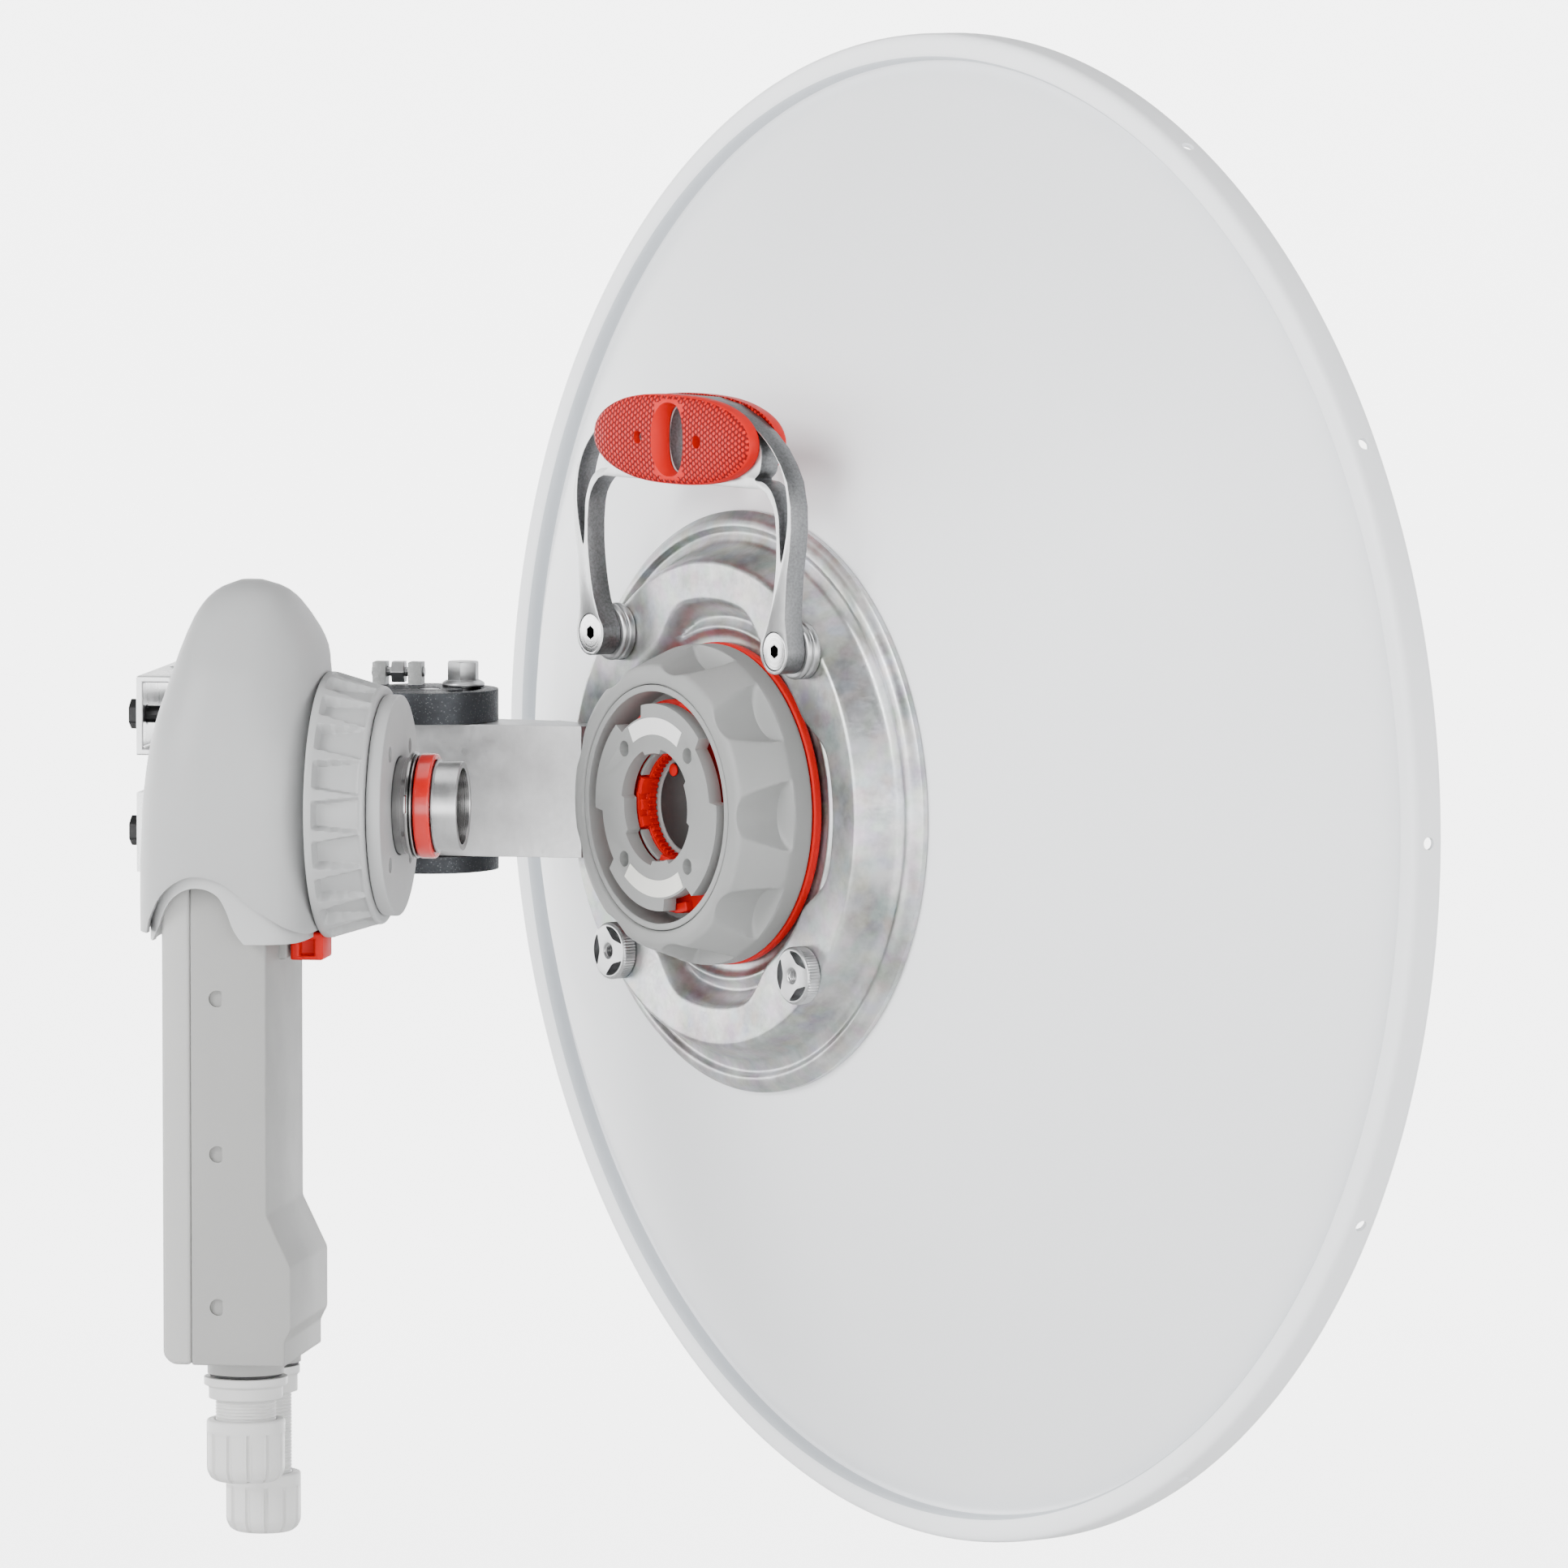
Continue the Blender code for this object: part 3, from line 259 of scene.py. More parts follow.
def casting():
    """Dark shot-blasted casting with sparkling grains; the adjuster's posts are paler."""
    dark, pale, sparkle = (0.040, 0.043, 0.048), (0.26, 0.265, 0.262), (0.30, 0.31, 0.32)
    posts_start = 0.0448
    made = Shader("casting_fine", 0.45, 0.75)
    grains = made.cells(900.0)[1]
    patches = made.noise(45.0, 4)
    tone = made.ramp(patches, (0.3, varied(dark, 0.75)), (0.7, varied(dark, 1.35)))
    post = made.math("GREATER_THAN", made.split(made.place)[2], posts_start)
    tone = made.mix(post, tone, pale)
    made.colour(made.mix(made.ramp(grains, (0.0, 0.55), (0.25, 0.0)), tone, sparkle))
    made.rough(made.ramp(grains, (0.1, 0.32), (0.6, 0.55)))
    made.bump(grains, 0.00008)
    made.bump(made.noise(300.0, 4), 0.00008)
    return made.material


def turned_steel(name, colour, matrix, roughness=0.24, pitch=1500.0):
    """Lathe-turned metal with fine rings about the Z axis of a frame."""
    made = Shader(name, roughness, 1.0)
    inverse = matrix.to_3x3().inverted().to_euler()
    x, y, z = made.split(made.mapped(turn=tuple(inverse), centre=tuple(matrix.translation)))
    path = made.math("ADD", made.radius(x, y), z)
    joined = made.nodes.new("ShaderNodeCombineXYZ")
    made.join(made.math("MULTIPLY", path, pitch), joined.inputs[0])
    rings = made.noise(1.0, 3, joined.outputs[0])
    marks = made.noise(180.0, 4)
    made.colour(made.ramp(marks, (0.3, varied(colour, 0.85)), (0.7, colour)))
    made.rough(made.ramp(rings, (0.3, roughness - 0.08), (0.7, roughness + 0.12)))
    made.bump(rings, 0.000012)
    return made.material


def knurled_red():
    """Red grip plastic with rows of small raised cells, and painted shade on the ground between
    them.
    """
    red = (0.62, 0.002, 0.001)
    made = Shader("grip_cells", 0.50, specular=0.15)
    x, _, z = made.split(made.mapped(centre=tuple(PORT)))
    pitch = 0.0026
    k = FULL_TURN / (pitch * math.sin(math.radians(60)))
    total = None
    for a in (math.radians(turn) for turn in (0, 60, 120)):
        along = made.math("ADD", made.math("MULTIPLY", x, math.cos(a) * k),
                          made.math("MULTIPLY", z, math.sin(a) * k))
        wave = made.math("COSINE", along)
        total = wave if total is None else made.math("ADD", total, wave)
    share = made.math("MULTIPLY", made.math("ADD", total, 1.5), 0.222)
    cells = made.ramp(share, (0.12, 0.0), (0.55, 1.0))
    # Painted shade: the ground between the raised cells is darkened to a quarter of the red.
    made.colour(made.mix(cells, varied(red, 0.25), red))
    made.rough(made.ramp(cells, (0.0, 0.60), (1.0, 0.36)))
    made.bump(cells, 0.0005)
    return made.material


PAINT = paint()
PLASTIC = moulded("port_plastic_fine", (0.27, 0.275, 0.272), 0.46)
PALE_PLASTIC = moulded("hood_plastic_fine", (0.36, 0.365, 0.367), 0.44, 1100.0)
SKIRT_PLASTIC = moulded("skirt_plastic_fine", (0.43, 0.435, 0.437), 0.44, 1100.0)
RADIO_SHELL = moulded("radio_plastic_fine", (0.28, 0.28, 0.273), 0.50, 900.0, 0.00003)
RADIO_REAR = moulded("radio_rear_plastic_fine", (0.40, 0.40, 0.392), 0.50, 900.0, 0.00003)
NYLON = moulded("gland_nylon_fine", (0.56, 0.56, 0.553), 0.34, 700.0, 0.00001, 0.02)
RED = moulded("red_plastic_fine", (0.56, 0.002, 0.001), 0.50, 900.0, specular=0.2)
RED_RUBBER = moulded("red_seal_fine", (0.60, 0.002, 0.001), 0.24, 500.0, 0.00001, 0.05, 0.3)
RUBBER = moulded("black_rubber_fine", (0.018, 0.018, 0.018), 0.62, 800.0, 0.00004, 0.2)
LABEL = moulded("label_white_fine", (0.83, 0.83, 0.82), 0.30, 300.0, 0.000005, 0.02)
LABEL_CREAM = moulded("label_cream_fine", (0.78, 0.78, 0.72), 0.32, 300.0, 0.000005, 0.02)
ZINC = galvanised()
CASTING = casting()
BLACK_STEEL = metal("black_oxide_fine", (0.035, 0.035, 0.036), 0.42, 0.08)
BRUSHED = metal("brushed_aluminium_fine", (0.56, 0.565, 0.57), 0.33, 0.08, (1, 1, 0.3),
                grain=1500.0, mottle=160.0, tone=0.28, anisotropy=0.3)
CUT_ALUMINIUM = metal("cut_aluminium_fine", (0.26, 0.265, 0.27), 0.46, 0.10, grain=1800.0,
                      depth=0.00006, mottle=900.0, tone=0.55)
PLATED = metal("plated_steel_fine", (0.45, 0.455, 0.46), 0.34, 0.06, grain=300.0,
               depth=0.000004, mottle=110.0)
JAW_STEEL = metal("jaw_steel_fine", (0.66, 0.665, 0.67), 0.30, 0.08, (1, 1, 0.1), grain=600.0,
                  mottle=50.0)
ARM_ZINC = metal("arm_zinc_fine", (0.68, 0.685, 0.69), 0.40, 0.08, (1, 1, 1), grain=420.0,
                 mottle=60.0, tone=0.28)
BOARD = moulded("board_fine", (0.02, 0.13, 0.05), 0.35, 260.0, 0.00003, 0.3)
GRIP = knurled_red()


# ---------------------------------------------------------------- mesh helpers

def shade(mesh, angle=35.0):
    mesh.shade_smooth()
    mesh.set_sharp_from_angle(angle=math.radians(angle))
    return mesh


def add(name, mesh, finish, place, body, nodes=(), angle=35.0):
    """Move a mesh into place and show it as a piece that stands for some CAD nodes."""
    mesh.transform(place)
    if place.determinant() < 0:
        mesh.flip_normals()
    shade(mesh, angle)
    made = bpy.data.objects.new(name, mesh)
    bpy.context.scene.collection.objects.link(made)
    if not mesh.materials:
        mesh.materials.append(finish)
    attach(made, body)
    if nodes:
        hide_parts(*nodes)
    return made


def mesh_from(bm, merge=1e-6):
    bmesh.ops.remove_doubles(bm, verts=bm.verts, dist=merge)
    bmesh.ops.recalc_face_normals(bm, faces=bm.faces)
    mesh = bpy.data.meshes.new("mesh")
    bm.to_mesh(mesh)
    bm.free()
    return mesh


def filleted(profile, radius, closed=True, count=3):
    """A profile with each corner rounded off over up to the given radius."""
    made = []
    total = len(profile)
    for i, (x, y) in enumerate(profile):
        if not closed and i in (0, total - 1):
            made.append((x, y))
            continue
        here = Vector((x, y))
        before, after = Vector(profile[i - 1]), Vector(profile[(i + 1) % total])
        cut = min(radius, (before - here).length * 0.45, (after - here).length * 0.45)
        start = here + (before - here).normalized() * cut
        end = here + (after - here).normalized() * cut
        for k in range(count + 1):
            t = k / count
            point = start * (1 - t) ** 2 + here * 2 * t * (1 - t) + end * t * t
            made.append((point.x, point.y))
    return made


def dense(profile, step, closed=True):
    """The same profile with its long sides split, so that it can be displaced."""
    made = []
    ends = profile[1:] + profile[:1] if closed else profile[1:]
    for (x0, y0), (x1, y1) in zip(profile, ends):
        parts = max(1, math.ceil(math.hypot(x1 - x0, y1 - y0) / step))
        made += [(x0 + (x1 - x0) * k / parts, y0 + (y1 - y0) * k / parts) for k in range(parts)]
    if not closed:
        made.append(profile[-1])
    return made


def turned(profile, steps=128, closed=True, change=None):
    """Turn (radius, height) points about Z; change moves a point at (radius, angle, height)."""
    bm = bmesh.new()
    rows = []
    for i in range(steps):
        angle = FULL_TURN * i / steps
        row = []
        for r, h in profile:
            if change:
                r, h = change(r, angle, h)
            row.append(bm.verts.new((r * math.cos(angle), r * math.sin(angle), h)))
        rows.append(row)
    count = len(profile)
    for i, row in enumerate(rows):
        after = rows[(i + 1) % steps]
        for k in range(count if closed else count - 1):
            n = (k + 1) % count
            bm.faces.new((row[k], after[k], after[n], row[n]))
    bmesh.ops.dissolve_degenerate(bm, edges=bm.edges, dist=1e-7)
    return mesh_from(bm)


def loft(rings):
    """A closed body through rings with the same number of points."""
    bm = bmesh.new()
    rows = [[bm.verts.new(p) for p in ring] for ring in rings]
    for low, high in zip(rows, rows[1:]):
        for i in range(len(low)):
            k = (i + 1) % len(low)
            bm.faces.new((low[i], low[k], high[k], high[i]))
    bm.faces.new(rows[0][::-1])
    bm.faces.new(rows[-1])
    return mesh_from(bm)


def arc(centre, radius, start, end, count):
    """Points on an arc, angles in degrees."""
    turns = [math.radians(start + (end - start) * i / (count - 1)) for i in range(count)]
    return [(centre[0] + radius * math.cos(a), centre[1] + radius * math.sin(a)) for a in turns]


def plate(outlines, low, high):
    """A flat outline, with any further outlines as holes, from Z low to high."""
    curve = bpy.data.curves.new("outline", "CURVE")
    curve.dimensions = "2D"
    curve.fill_mode = "BOTH"
    curve.extrude = (high - low) / 2
    for outline in outlines:
        spline = curve.splines.new("POLY")
        spline.points.add(len(outline) - 1)
        for point, (x, y) in zip(spline.points, outline):
            point.co = (x, y, 0, 1)
        spline.use_cyclic_u = True
    holder = bpy.data.objects.new("outline", curve)
    bpy.context.scene.collection.objects.link(holder)
    graph = bpy.context.evaluated_depsgraph_get()
    mesh = bpy.data.meshes.new_from_object(holder.evaluated_get(graph))
    bpy.data.objects.remove(holder)
    bm = bmesh.new()
    bm.from_mesh(mesh)
    bmesh.ops.remove_doubles(bm, verts=bm.verts, dist=1e-6)
    bmesh.ops.translate(bm, verts=bm.verts, vec=(0, 0, (low + high) / 2))
    return mesh_from(bm)


def side_plate(outline, low, high):
    """An outline in X and Z, as thick as low to high along Y."""
    mesh = plate([outline], low, high)
    for vertex in mesh.vertices:
        x, z, y = vertex.co
        vertex.co = (x, y, z)
    mesh.flip_normals()
    return mesh


def ring_band(inner, outer, start, end, low, high, count=10):
    """Part of a flat ring between two angles."""
    band = arc((0, 0), outer, start, end, count) + arc((0, 0), inner, end, start, count)
    return plate([band], low, high)


def block(low, high):
    """A box between two corners."""
    bm = bmesh.new()
    size = [b - a for a, b in zip(low, high)]
    middle = [(a + b) / 2 for a, b in zip(low, high)]
    place = Matrix.Translation(middle) @ Matrix.Diagonal((*size, 1))
    bmesh.ops.create_cube(bm, size=1, matrix=place)
    return mesh_from(bm)


def rod(radius, start, end, sides=32):
    """A cylinder along Z."""
    bm = bmesh.new()
    bmesh.ops.create_cone(bm, cap_ends=True, segments=sides, radius1=radius, radius2=radius,
                          depth=end - start, matrix=Matrix.Translation((0, 0, (start + end) / 2)))
    return mesh_from(bm)


def evaluated(mesh, modifiers):
    """Apply modifiers, each a (kind, settings) pair, to a mesh and return the new mesh."""
    holder = bpy.data.objects.new("work", mesh)
    bpy.context.scene.collection.objects.link(holder)
    for kind, settings in modifiers:
        change = holder.modifiers.new(kind, kind)
        for key, value in settings.items():
            setattr(change, key, value)
    graph = bpy.context.evaluated_depsgraph_get()
    made = bpy.data.meshes.new_from_object(holder.evaluated_get(graph))
    bpy.data.objects.remove(holder)
    return made


def boolean(mesh, tools, operation="DIFFERENCE"):
    """Cut meshes out of a mesh, or join them on."""
    holders = []
    for tool in tools:
        holder = bpy.data.objects.new("tool", tool)
        bpy.context.scene.collection.objects.link(holder)
        holders.append(holder)
    made = evaluated(mesh, [("BOOLEAN", {"operation": operation, "object": holder,
                                         "solver": "EXACT"}) for holder in holders])
    for holder in holders:
        bpy.data.objects.remove(holder)
    return made


def bevelled(mesh, width, segments=2, angle=30.0):
    flat = ("DECIMATE", {"decimate_type": "DISSOLVE", "angle_limit": math.radians(1.0)})
    round_off = ("BEVEL", {"width": width, "segments": segments, "limit_method": "ANGLE",
                           "angle_limit": math.radians(angle), "use_clamp_overlap": True})
    return evaluated(mesh, [flat, round_off])


def moved(mesh, *matrices):
    place = Matrix.Identity(4)
    for matrix in matrices:
        place = place @ matrix
    mesh.transform(place)
    return mesh


def at(x, y, z):
    return Matrix.Translation((x, y, z))


def joined(meshes):
    """Several meshes as one, each keeping its own material slots."""
    bm = bmesh.new()
    finishes = []
    for mesh in meshes:
        start = len(bm.faces)
        bm.from_mesh(mesh)
        bm.faces.ensure_lookup_table()
        own = list(mesh.materials)
        for finish in own:
            if finish not in finishes:
                finishes.append(finish)
        for face in bm.faces[start:]:
            if own:
                face.material_index = finishes.index(own[min(face.material_index, len(own) - 1)])
    made = bpy.data.meshes.new("joined")
    bm.to_mesh(made)
    bm.free()
    for finish in finishes:
        made.materials.append(finish)
    return made


def painted(mesh, finish):
    mesh.materials.clear()
    mesh.materials.append(finish)
    return mesh


def two_tone(mesh, first, second, picks_second):
    """Two finishes on one mesh, the second on the faces that the rule picks."""
    painted(mesh, first)
    mesh.materials.append(second)
    for face in mesh.polygons:
        face.material_index = int(picks_second(face))
    return mesh


def refine(node, finish, width=0.0005, segments=2):
    """Keep a CAD node, round its edges and give it a fine material."""
    piece = NODES[node]
    piece.data.materials.clear()
    piece.data.materials.append(finish)
    weld = piece.modifiers.new("weld", "WELD")
    weld.merge_threshold = 1e-5
    flat = piece.modifiers.new("flat", "DECIMATE")
    flat.decimate_type = "DISSOLVE"
    flat.angle_limit = math.radians(1.0)
    bevel = piece.modifiers.new("round", "BEVEL")
    bevel.width, bevel.segments = width, segments
    bevel.limit_method, bevel.angle_limit = "ANGLE", math.radians(30)
    normals = piece.modifiers.new("normals", "WEIGHTED_NORMAL")
    normals.keep_sharp = True
    return piece


def smoothstep(low, high, value):
    t = max(0.0, min(1.0, (value - low) / (high - low)))
    return t * t * (3 - 2 * t)


def soft_min(a, b, width):
    """The smaller of two values, with a rounded corner of the given width."""
    t = max(0.0, min(1.0, 0.5 + 0.5 * (b - a) / width))
    return b * (1 - t) + a * t - width * t * (1 - t)


# ---------------------------------------------------------------- dish

def bowl(radius):
    return BOWL_VERTEX - radius ** 2 / (4 * FOCAL_LENGTH)


def bowl_front(radius):
    return bowl(radius) - BOWL_THICKNESS * math.hypot(1, radius / (2 * FOCAL_LENGTH))


def make_reflector():
    """Spun bowl, the channel behind its wall, and the rolled rim with its radome holes."""
    stations = [HUB_RADIUS + (WALL_RADIUS - HUB_RADIUS) * i / 28 for i in range(29)]
    wall = BOWL_THICKNESS
    hub = bowl(HUB_RADIUS)
    back = [(HUB_HOLE, hub)] + [(r, bowl(r)) for r in stations]
    rim = [(WALL_RADIUS, RIM_BACK), (RIM_RADIUS, RIM_BACK), (RIM_RADIUS, RIM_FRONT),
           (RIM_RADIUS - wall, RIM_FRONT), (RIM_RADIUS - wall, RIM_BACK - wall),
           (WALL_RADIUS + wall, RIM_BACK - wall),
           (WALL_RADIUS + wall, bowl_front(WALL_RADIUS + wall))]
    front = [(r, bowl_front(r)) for r in reversed(stations[:-1])] + [(HUB_HOLE, hub - wall)]
    profile = back[:-3] + filleted(back[-3:] + rim + front[:3], 0.0042, False, 6) + front[3:]
    mesh = turned(profile, 288)
    tools = [moved(rod(0.0028, -0.006, 0.006, 20),
                   Matrix.Rotation(FULL_TURN * i / RADOME_COUNT, 4, "Z"),
                   at(RIM_RADIUS, 0, RADOME_HEIGHT), AXIS_X) for i in range(RADOME_COUNT)]
    tools += [moved(rod(BOLT_HOLE, -0.060, -0.040, 24), at(x, y, 0)) for x, y in BOSSES]
    add("reflector_bowl", boolean(mesh, tools), PAINT, DISH, "dish",
        ["reflector"], 40)


def plate_height(radius, angle):
    """Height of the pressed back plate's face, with pads reaching in at the four bolts.

    From the middle out: low floor, narrow ridge, raised ring, slope down to the bowl, edge bead.
    """
    pad = 0.0
    for x, y in BOSSES:
        away = abs((angle - math.atan2(y, x) + math.pi) % FULL_TURN - math.pi)
        pad = max(pad, 1 - smoothstep(math.radians(12), math.radians(30), away))
    inner = 0.0925 - 0.0105 * pad
    floor = -0.0412
    height = floor + (RAISED_RING - floor) * smoothstep(inner - 0.0085, inner, radius)
    ridge = math.exp(-((radius - 0.0792) / 0.0024) ** 2) * 0.0028
    edge_floor = bowl(radius) + 0.0031
    outer = 1 - smoothstep(0.1080, 0.1175, radius)
    height = max(height, floor + ridge) * outer + edge_floor * (1 - outer)
    bead = smoothstep(0.1212, 0.1246, radius) * (1 - smoothstep(0.1272, 0.1308, radius))
    return height + 0.0028 * bead


def make_back_plate():
    """Pressed plate with holes for the four slotted bolts and the bracket arm's two bolts."""
    thickness, inner, outer, count = 0.0024, 0.045, 0.131, 84
    radii = [inner + (outer - inner) * i / count for i in range(count + 1)]
    section = [(r, 0.0) for r in radii] + [(r, thickness) for r in reversed(radii)]
    mesh = turned(section, 288, True, lambda r, angle, down: (r, plate_height(r, angle) - down))
    tools = [moved(rod(BOLT_HOLE, -0.060, -0.020, 24), at(x, y, 0)) for x, y in BOSSES]
    tools += [moved(rod(0.0034, -0.060, -0.020, 24), at(-0.104, y, 0)) for y in (-0.018, 0.018)]
    add("back_plate_pressed", boolean(mesh, tools), ZINC, DISH, "dish",
        ["back_plate"], 50)


def make_slotted_bolts():
    """Round-headed bolts with a threaded centre.

    The two lower ones have three curved key slots and a ribbed edge, the two under the handle's
    ends have a groove round the edge instead.
    """
    rim, head_under, shank, tip = 0.0130, RAISED_RING + 0.0003, 0.0050, -0.0560
    bore, bore_floor, groove = 0.0030, BOSS_FACE - 0.0100, BOSS_FACE - 0.0030
    ribs, half_slot = 60, 38
    profile = filleted([(bore, bore_floor), (bore, BOSS_FACE - 0.0006), (0.0036, BOSS_FACE),
                        (0.0120, BOSS_FACE), (rim, BOSS_FACE - 0.0010), (rim, BOSS_FACE - 0.0024),
                        (rim, groove), (rim, BOSS_FACE - 0.0036), (rim, head_under),
                        (shank, head_under), (shank, tip), (0, tip), (0, bore_floor)],
                       0.0004, True, 2)

    def grooved(r, angle, h):
        near = smoothstep(0.0105, 0.0122, r)
        return r - 0.0010 * near * math.exp(-((h - BOSS_FACE + 0.0030) / 0.0005) ** 2), h

    def ribbed(r, angle, h):
        if r > rim - 0.0004:
            r -= 0.0003 * (0.5 + 0.5 * math.cos(angle * ribs))
        return r, h

    for i, (x, y) in enumerate(BOSSES):
        under_handle = y > 0
        mesh = turned(profile, 240, True, grooved if under_handle else ribbed)
        slots = []
        for turn in (180, 300, 420):
            outer = arc((0, 0), 0.0112, turn - half_slot, turn + half_slot, 14)
            inner = []
            for n in range(13):
                share = n / 6 - 1
                where = math.radians(turn - half_slot * share)
                reach = 0.0066 + 0.0037 * share ** 2
                inner.append((reach * math.cos(where), reach * math.sin(where)))
            slots.append(plate([outer + inner], BOSS_FACE - 0.0045, BOSS_FACE + 0.002))
        mesh = painted(mesh if under_handle else boolean(mesh, slots), PLATED)
        thread = turned(threaded(bore, BOSS_FACE - 0.0095, BOSS_FACE - 0.0008, 0.0008, -0.00045,
                                 0.0034), 48)
        mesh = joined([mesh, painted(thread, PLATED)])
        name = "slotted_bolt_" + str(i + 1)
        add(name + "_fine", mesh, PLATED, DISH @ at(x, y, 0), "dish", [name])


def threaded(radius, low, high, pitch, depth, back):
    """A closed profile for thread crests about radius; a negative depth points inward."""
    points = [(back, low)]
    count = max(2, round((high - low) / pitch))
    for i in range(count):
        start = low + (high - low) * i / count
        points += [(radius, start + pitch * 0.10), (radius + depth, start + pitch * 0.45),
                   (radius + depth, start + pitch * 0.60), (radius, start + pitch * 0.95)]
    points.append((back, high))
    return points


# ---------------------------------------------------------------- port

def make_port():
    """Housing, seal, wheel, key plate, lock ring, and the membrane with its red pin."""
    housing = [(0.0212, -0.018), (0.052, -0.018), (0.052, -0.0004), (0.0550, -0.0004),
               (0.0550, -0.018), (0.0575, -0.018), (0.0575, -0.022), (0.0550, -0.022),
               (0.0550, -0.0397), (0.0445, -0.0397), (0.0445, -0.048), (0.0212, -0.048)]
    add("port_housing_fine", turned(filleted(housing, 0.0005), 160), PLASTIC, DISH, "dish",
        ["port_housing"])
    seal = [(WHEEL_BORE, -0.0355), (0.0725, -0.0355), (0.0725, -0.0397), (WHEEL_BORE, -0.0397)]
    add("wheel_seal_fine", turned(filleted(seal, 0.0012, True, 4), 192), RED, DISH, "dish",
        ["wheel_seal_ring"])
    make_wheel()
    make_key_plate()
    make_lock_ring()
    disc = filleted([(0, -0.0195), (0.0208, -0.0195), (0.0208, -0.0182), (0, -0.0182)], 0.0003,
                    False)
    pin = turned(filleted([(0, -0.0182), (0.0029, -0.0182), (0.0029, -0.0170), (0, -0.0165)],
                          0.0006, False), 48, False)
    mesh = joined([painted(turned(disc, 96, False), RUBBER),
                   painted(moved(pin, at(-0.0100, 0.0154, 0)), RED)])
    add("port_membrane_fine", mesh, RUBBER, DISH, "dish", ["port_membrane"])


def make_wheel():
    """Hand wheel: a cone that widens to a back band, with nine scoops cut into it."""
    floor = -0.0245
    scoop_centre, scoop_radius = 0.0798, 0.0184
    profile = [(WHEEL_BORE, 0.0), (0.0608, 0.0), (0.0640, -0.0012), (WHEEL_RADIUS, -0.024),
               (WHEEL_RADIUS, -0.0350), (WHEEL_BORE, -0.0350), (WHEEL_BORE, -0.0224),
               (0.0579, -0.0224), (0.0579, -0.0176), (WHEEL_BORE, -0.0176)]
    profile = dense(filleted(profile, 0.0014, True, 4), 0.0008)

    def scooped(r, angle, h):
        if h < floor - 0.0006 or r < 0.0600:
            return r, h
        sector = FULL_TURN / SCOOPS
        away = (angle + sector / 2) % sector - sector / 2
        side = scoop_centre * math.sin(away)
        if abs(side) >= scoop_radius:
            return r, h
        wall = scoop_centre * math.cos(away) - math.sqrt(scoop_radius ** 2 - side ** 2)
        cut = soft_min(r, max(wall, 0.0602), 0.0010)
        share = smoothstep(floor - 0.0004, floor + 0.0016, h)
        return r + (cut - r) * share, h

    mesh = turned(profile, 432, True, scooped)
    add("hand_wheel_fine", mesh, PLASTIC, DISH, "wheel", ["hand_wheel"], 42)


def stepped(outer, inner, lobes, count=18, ramp=2.0):
    """An outline that follows one radius inside the given angles and another between them."""
    outline = []
    for i, (start, end) in enumerate(lobes):
        following = lobes[(i + 1) % len(lobes)][0] + (360 if i == len(lobes) - 1 else 0)
        outline += arc((0, 0), outer, start, end, count)
        outline += arc((0, 0), inner, end + ramp, following - ramp, count)
    return outline


def make_key_plate():
    """Port plate with stepped lobes, a keyed centre hole, four blind holes and two labels."""
    back, front = -0.0072, -0.0004
    outline = stepped(0.0465, 0.0412, ((45, 104), (131, 184), (220, 277), (306, 365)))
    hole = stepped(0.0265, 0.0243, ((30, 82), (112, 172), (210, 262), (292, 346)), 14)
    mesh = plate([outline, hole], back, front)
    tools = [moved(rod(0.0036, -0.0050, 0.002, 28), at(x, y, 0))
             for x in (-0.0242, 0.0242) for y in (-0.0248, 0.0248)]
    mesh = bevelled(boolean(mesh, tools), 0.0005, 3)
    add("port_plate_fine", mesh, PLASTIC, DISH, "dish", ["port_plate"])
    for name, start, end, finish in (("upper", 60, 121, LABEL), ("lower", 234, 302, LABEL_CREAM)):
        sticker = ring_band(0.0327, 0.0403, start, end, front + 0.00005, front + 0.0003, 30)
        add("label_" + name, sticker, finish, DISH, "dish")


def make_lock_ring():
    """Red bayonet ring under the port plate: end tabs, a catch, hooks and a ticked edge."""
    low, high = -0.0177, -0.0118
    ring = [(0.0262, high), (0.0480, high), (0.0480, low), (0.0262, low)]
    parts = [turned(filleted(ring, 0.0004), 144)]
    for turn, width, top in ((68, 14, -0.0086), (-1, 7, -0.0086), (280, 6, -0.0082)):
        tab = ring_band(0.0432, 0.0478, turn - width, turn + width, -0.0125, top)
        parts.append(bevelled(tab, 0.0006, 3))
    sleeve = [(0.0236, -0.0176), (0.0266, -0.0176), (0.0266, -0.0128), (0.0244, -0.0128)]
    parts.append(turned(filleted(sleeve, 0.0004), 144))
    for turn in range(92, 300, 7):
        tick = block((0.0226, -0.0005, -0.0172), (0.0250, 0.0005, -0.0136))
        parts.append(moved(tick, Matrix.Rotation(math.radians(turn), 4, "Z")))
    for start, end, inner, bottom, top in (
            (152, 206, 0.0246, -0.0132, -0.0082), (152, 170, 0.0228, -0.0170, -0.0082),
            (194, 206, 0.0232, -0.0170, -0.0090), (176, 188, 0.0235, -0.0156, -0.0100),
            (92, 104, 0.0230, -0.0140, -0.0082), (252, 270, 0.0230, -0.0150, -0.0082),
            (274, 282, 0.0232, -0.0132, -0.0084), (2, 20, 0.0232, -0.0132, -0.0084)):
        hook = ring_band(inner, 0.0265, start, end, bottom, top)
        parts.append(bevelled(hook, 0.0005))
    parts = [painted(part, RED) for part in parts]
    for start, end in ((106, 150), (208, 250)):
        spacer = ring_band(0.0250, 0.0265, start, end, -0.0126, -0.0082)
        parts.append(painted(bevelled(spacer, 0.0003), PLASTIC))
    add("lock_ring_fine", joined(parts), RED, DISH, "lock", ["port_lock_ring"])


# ---------------------------------------------------------------- handle

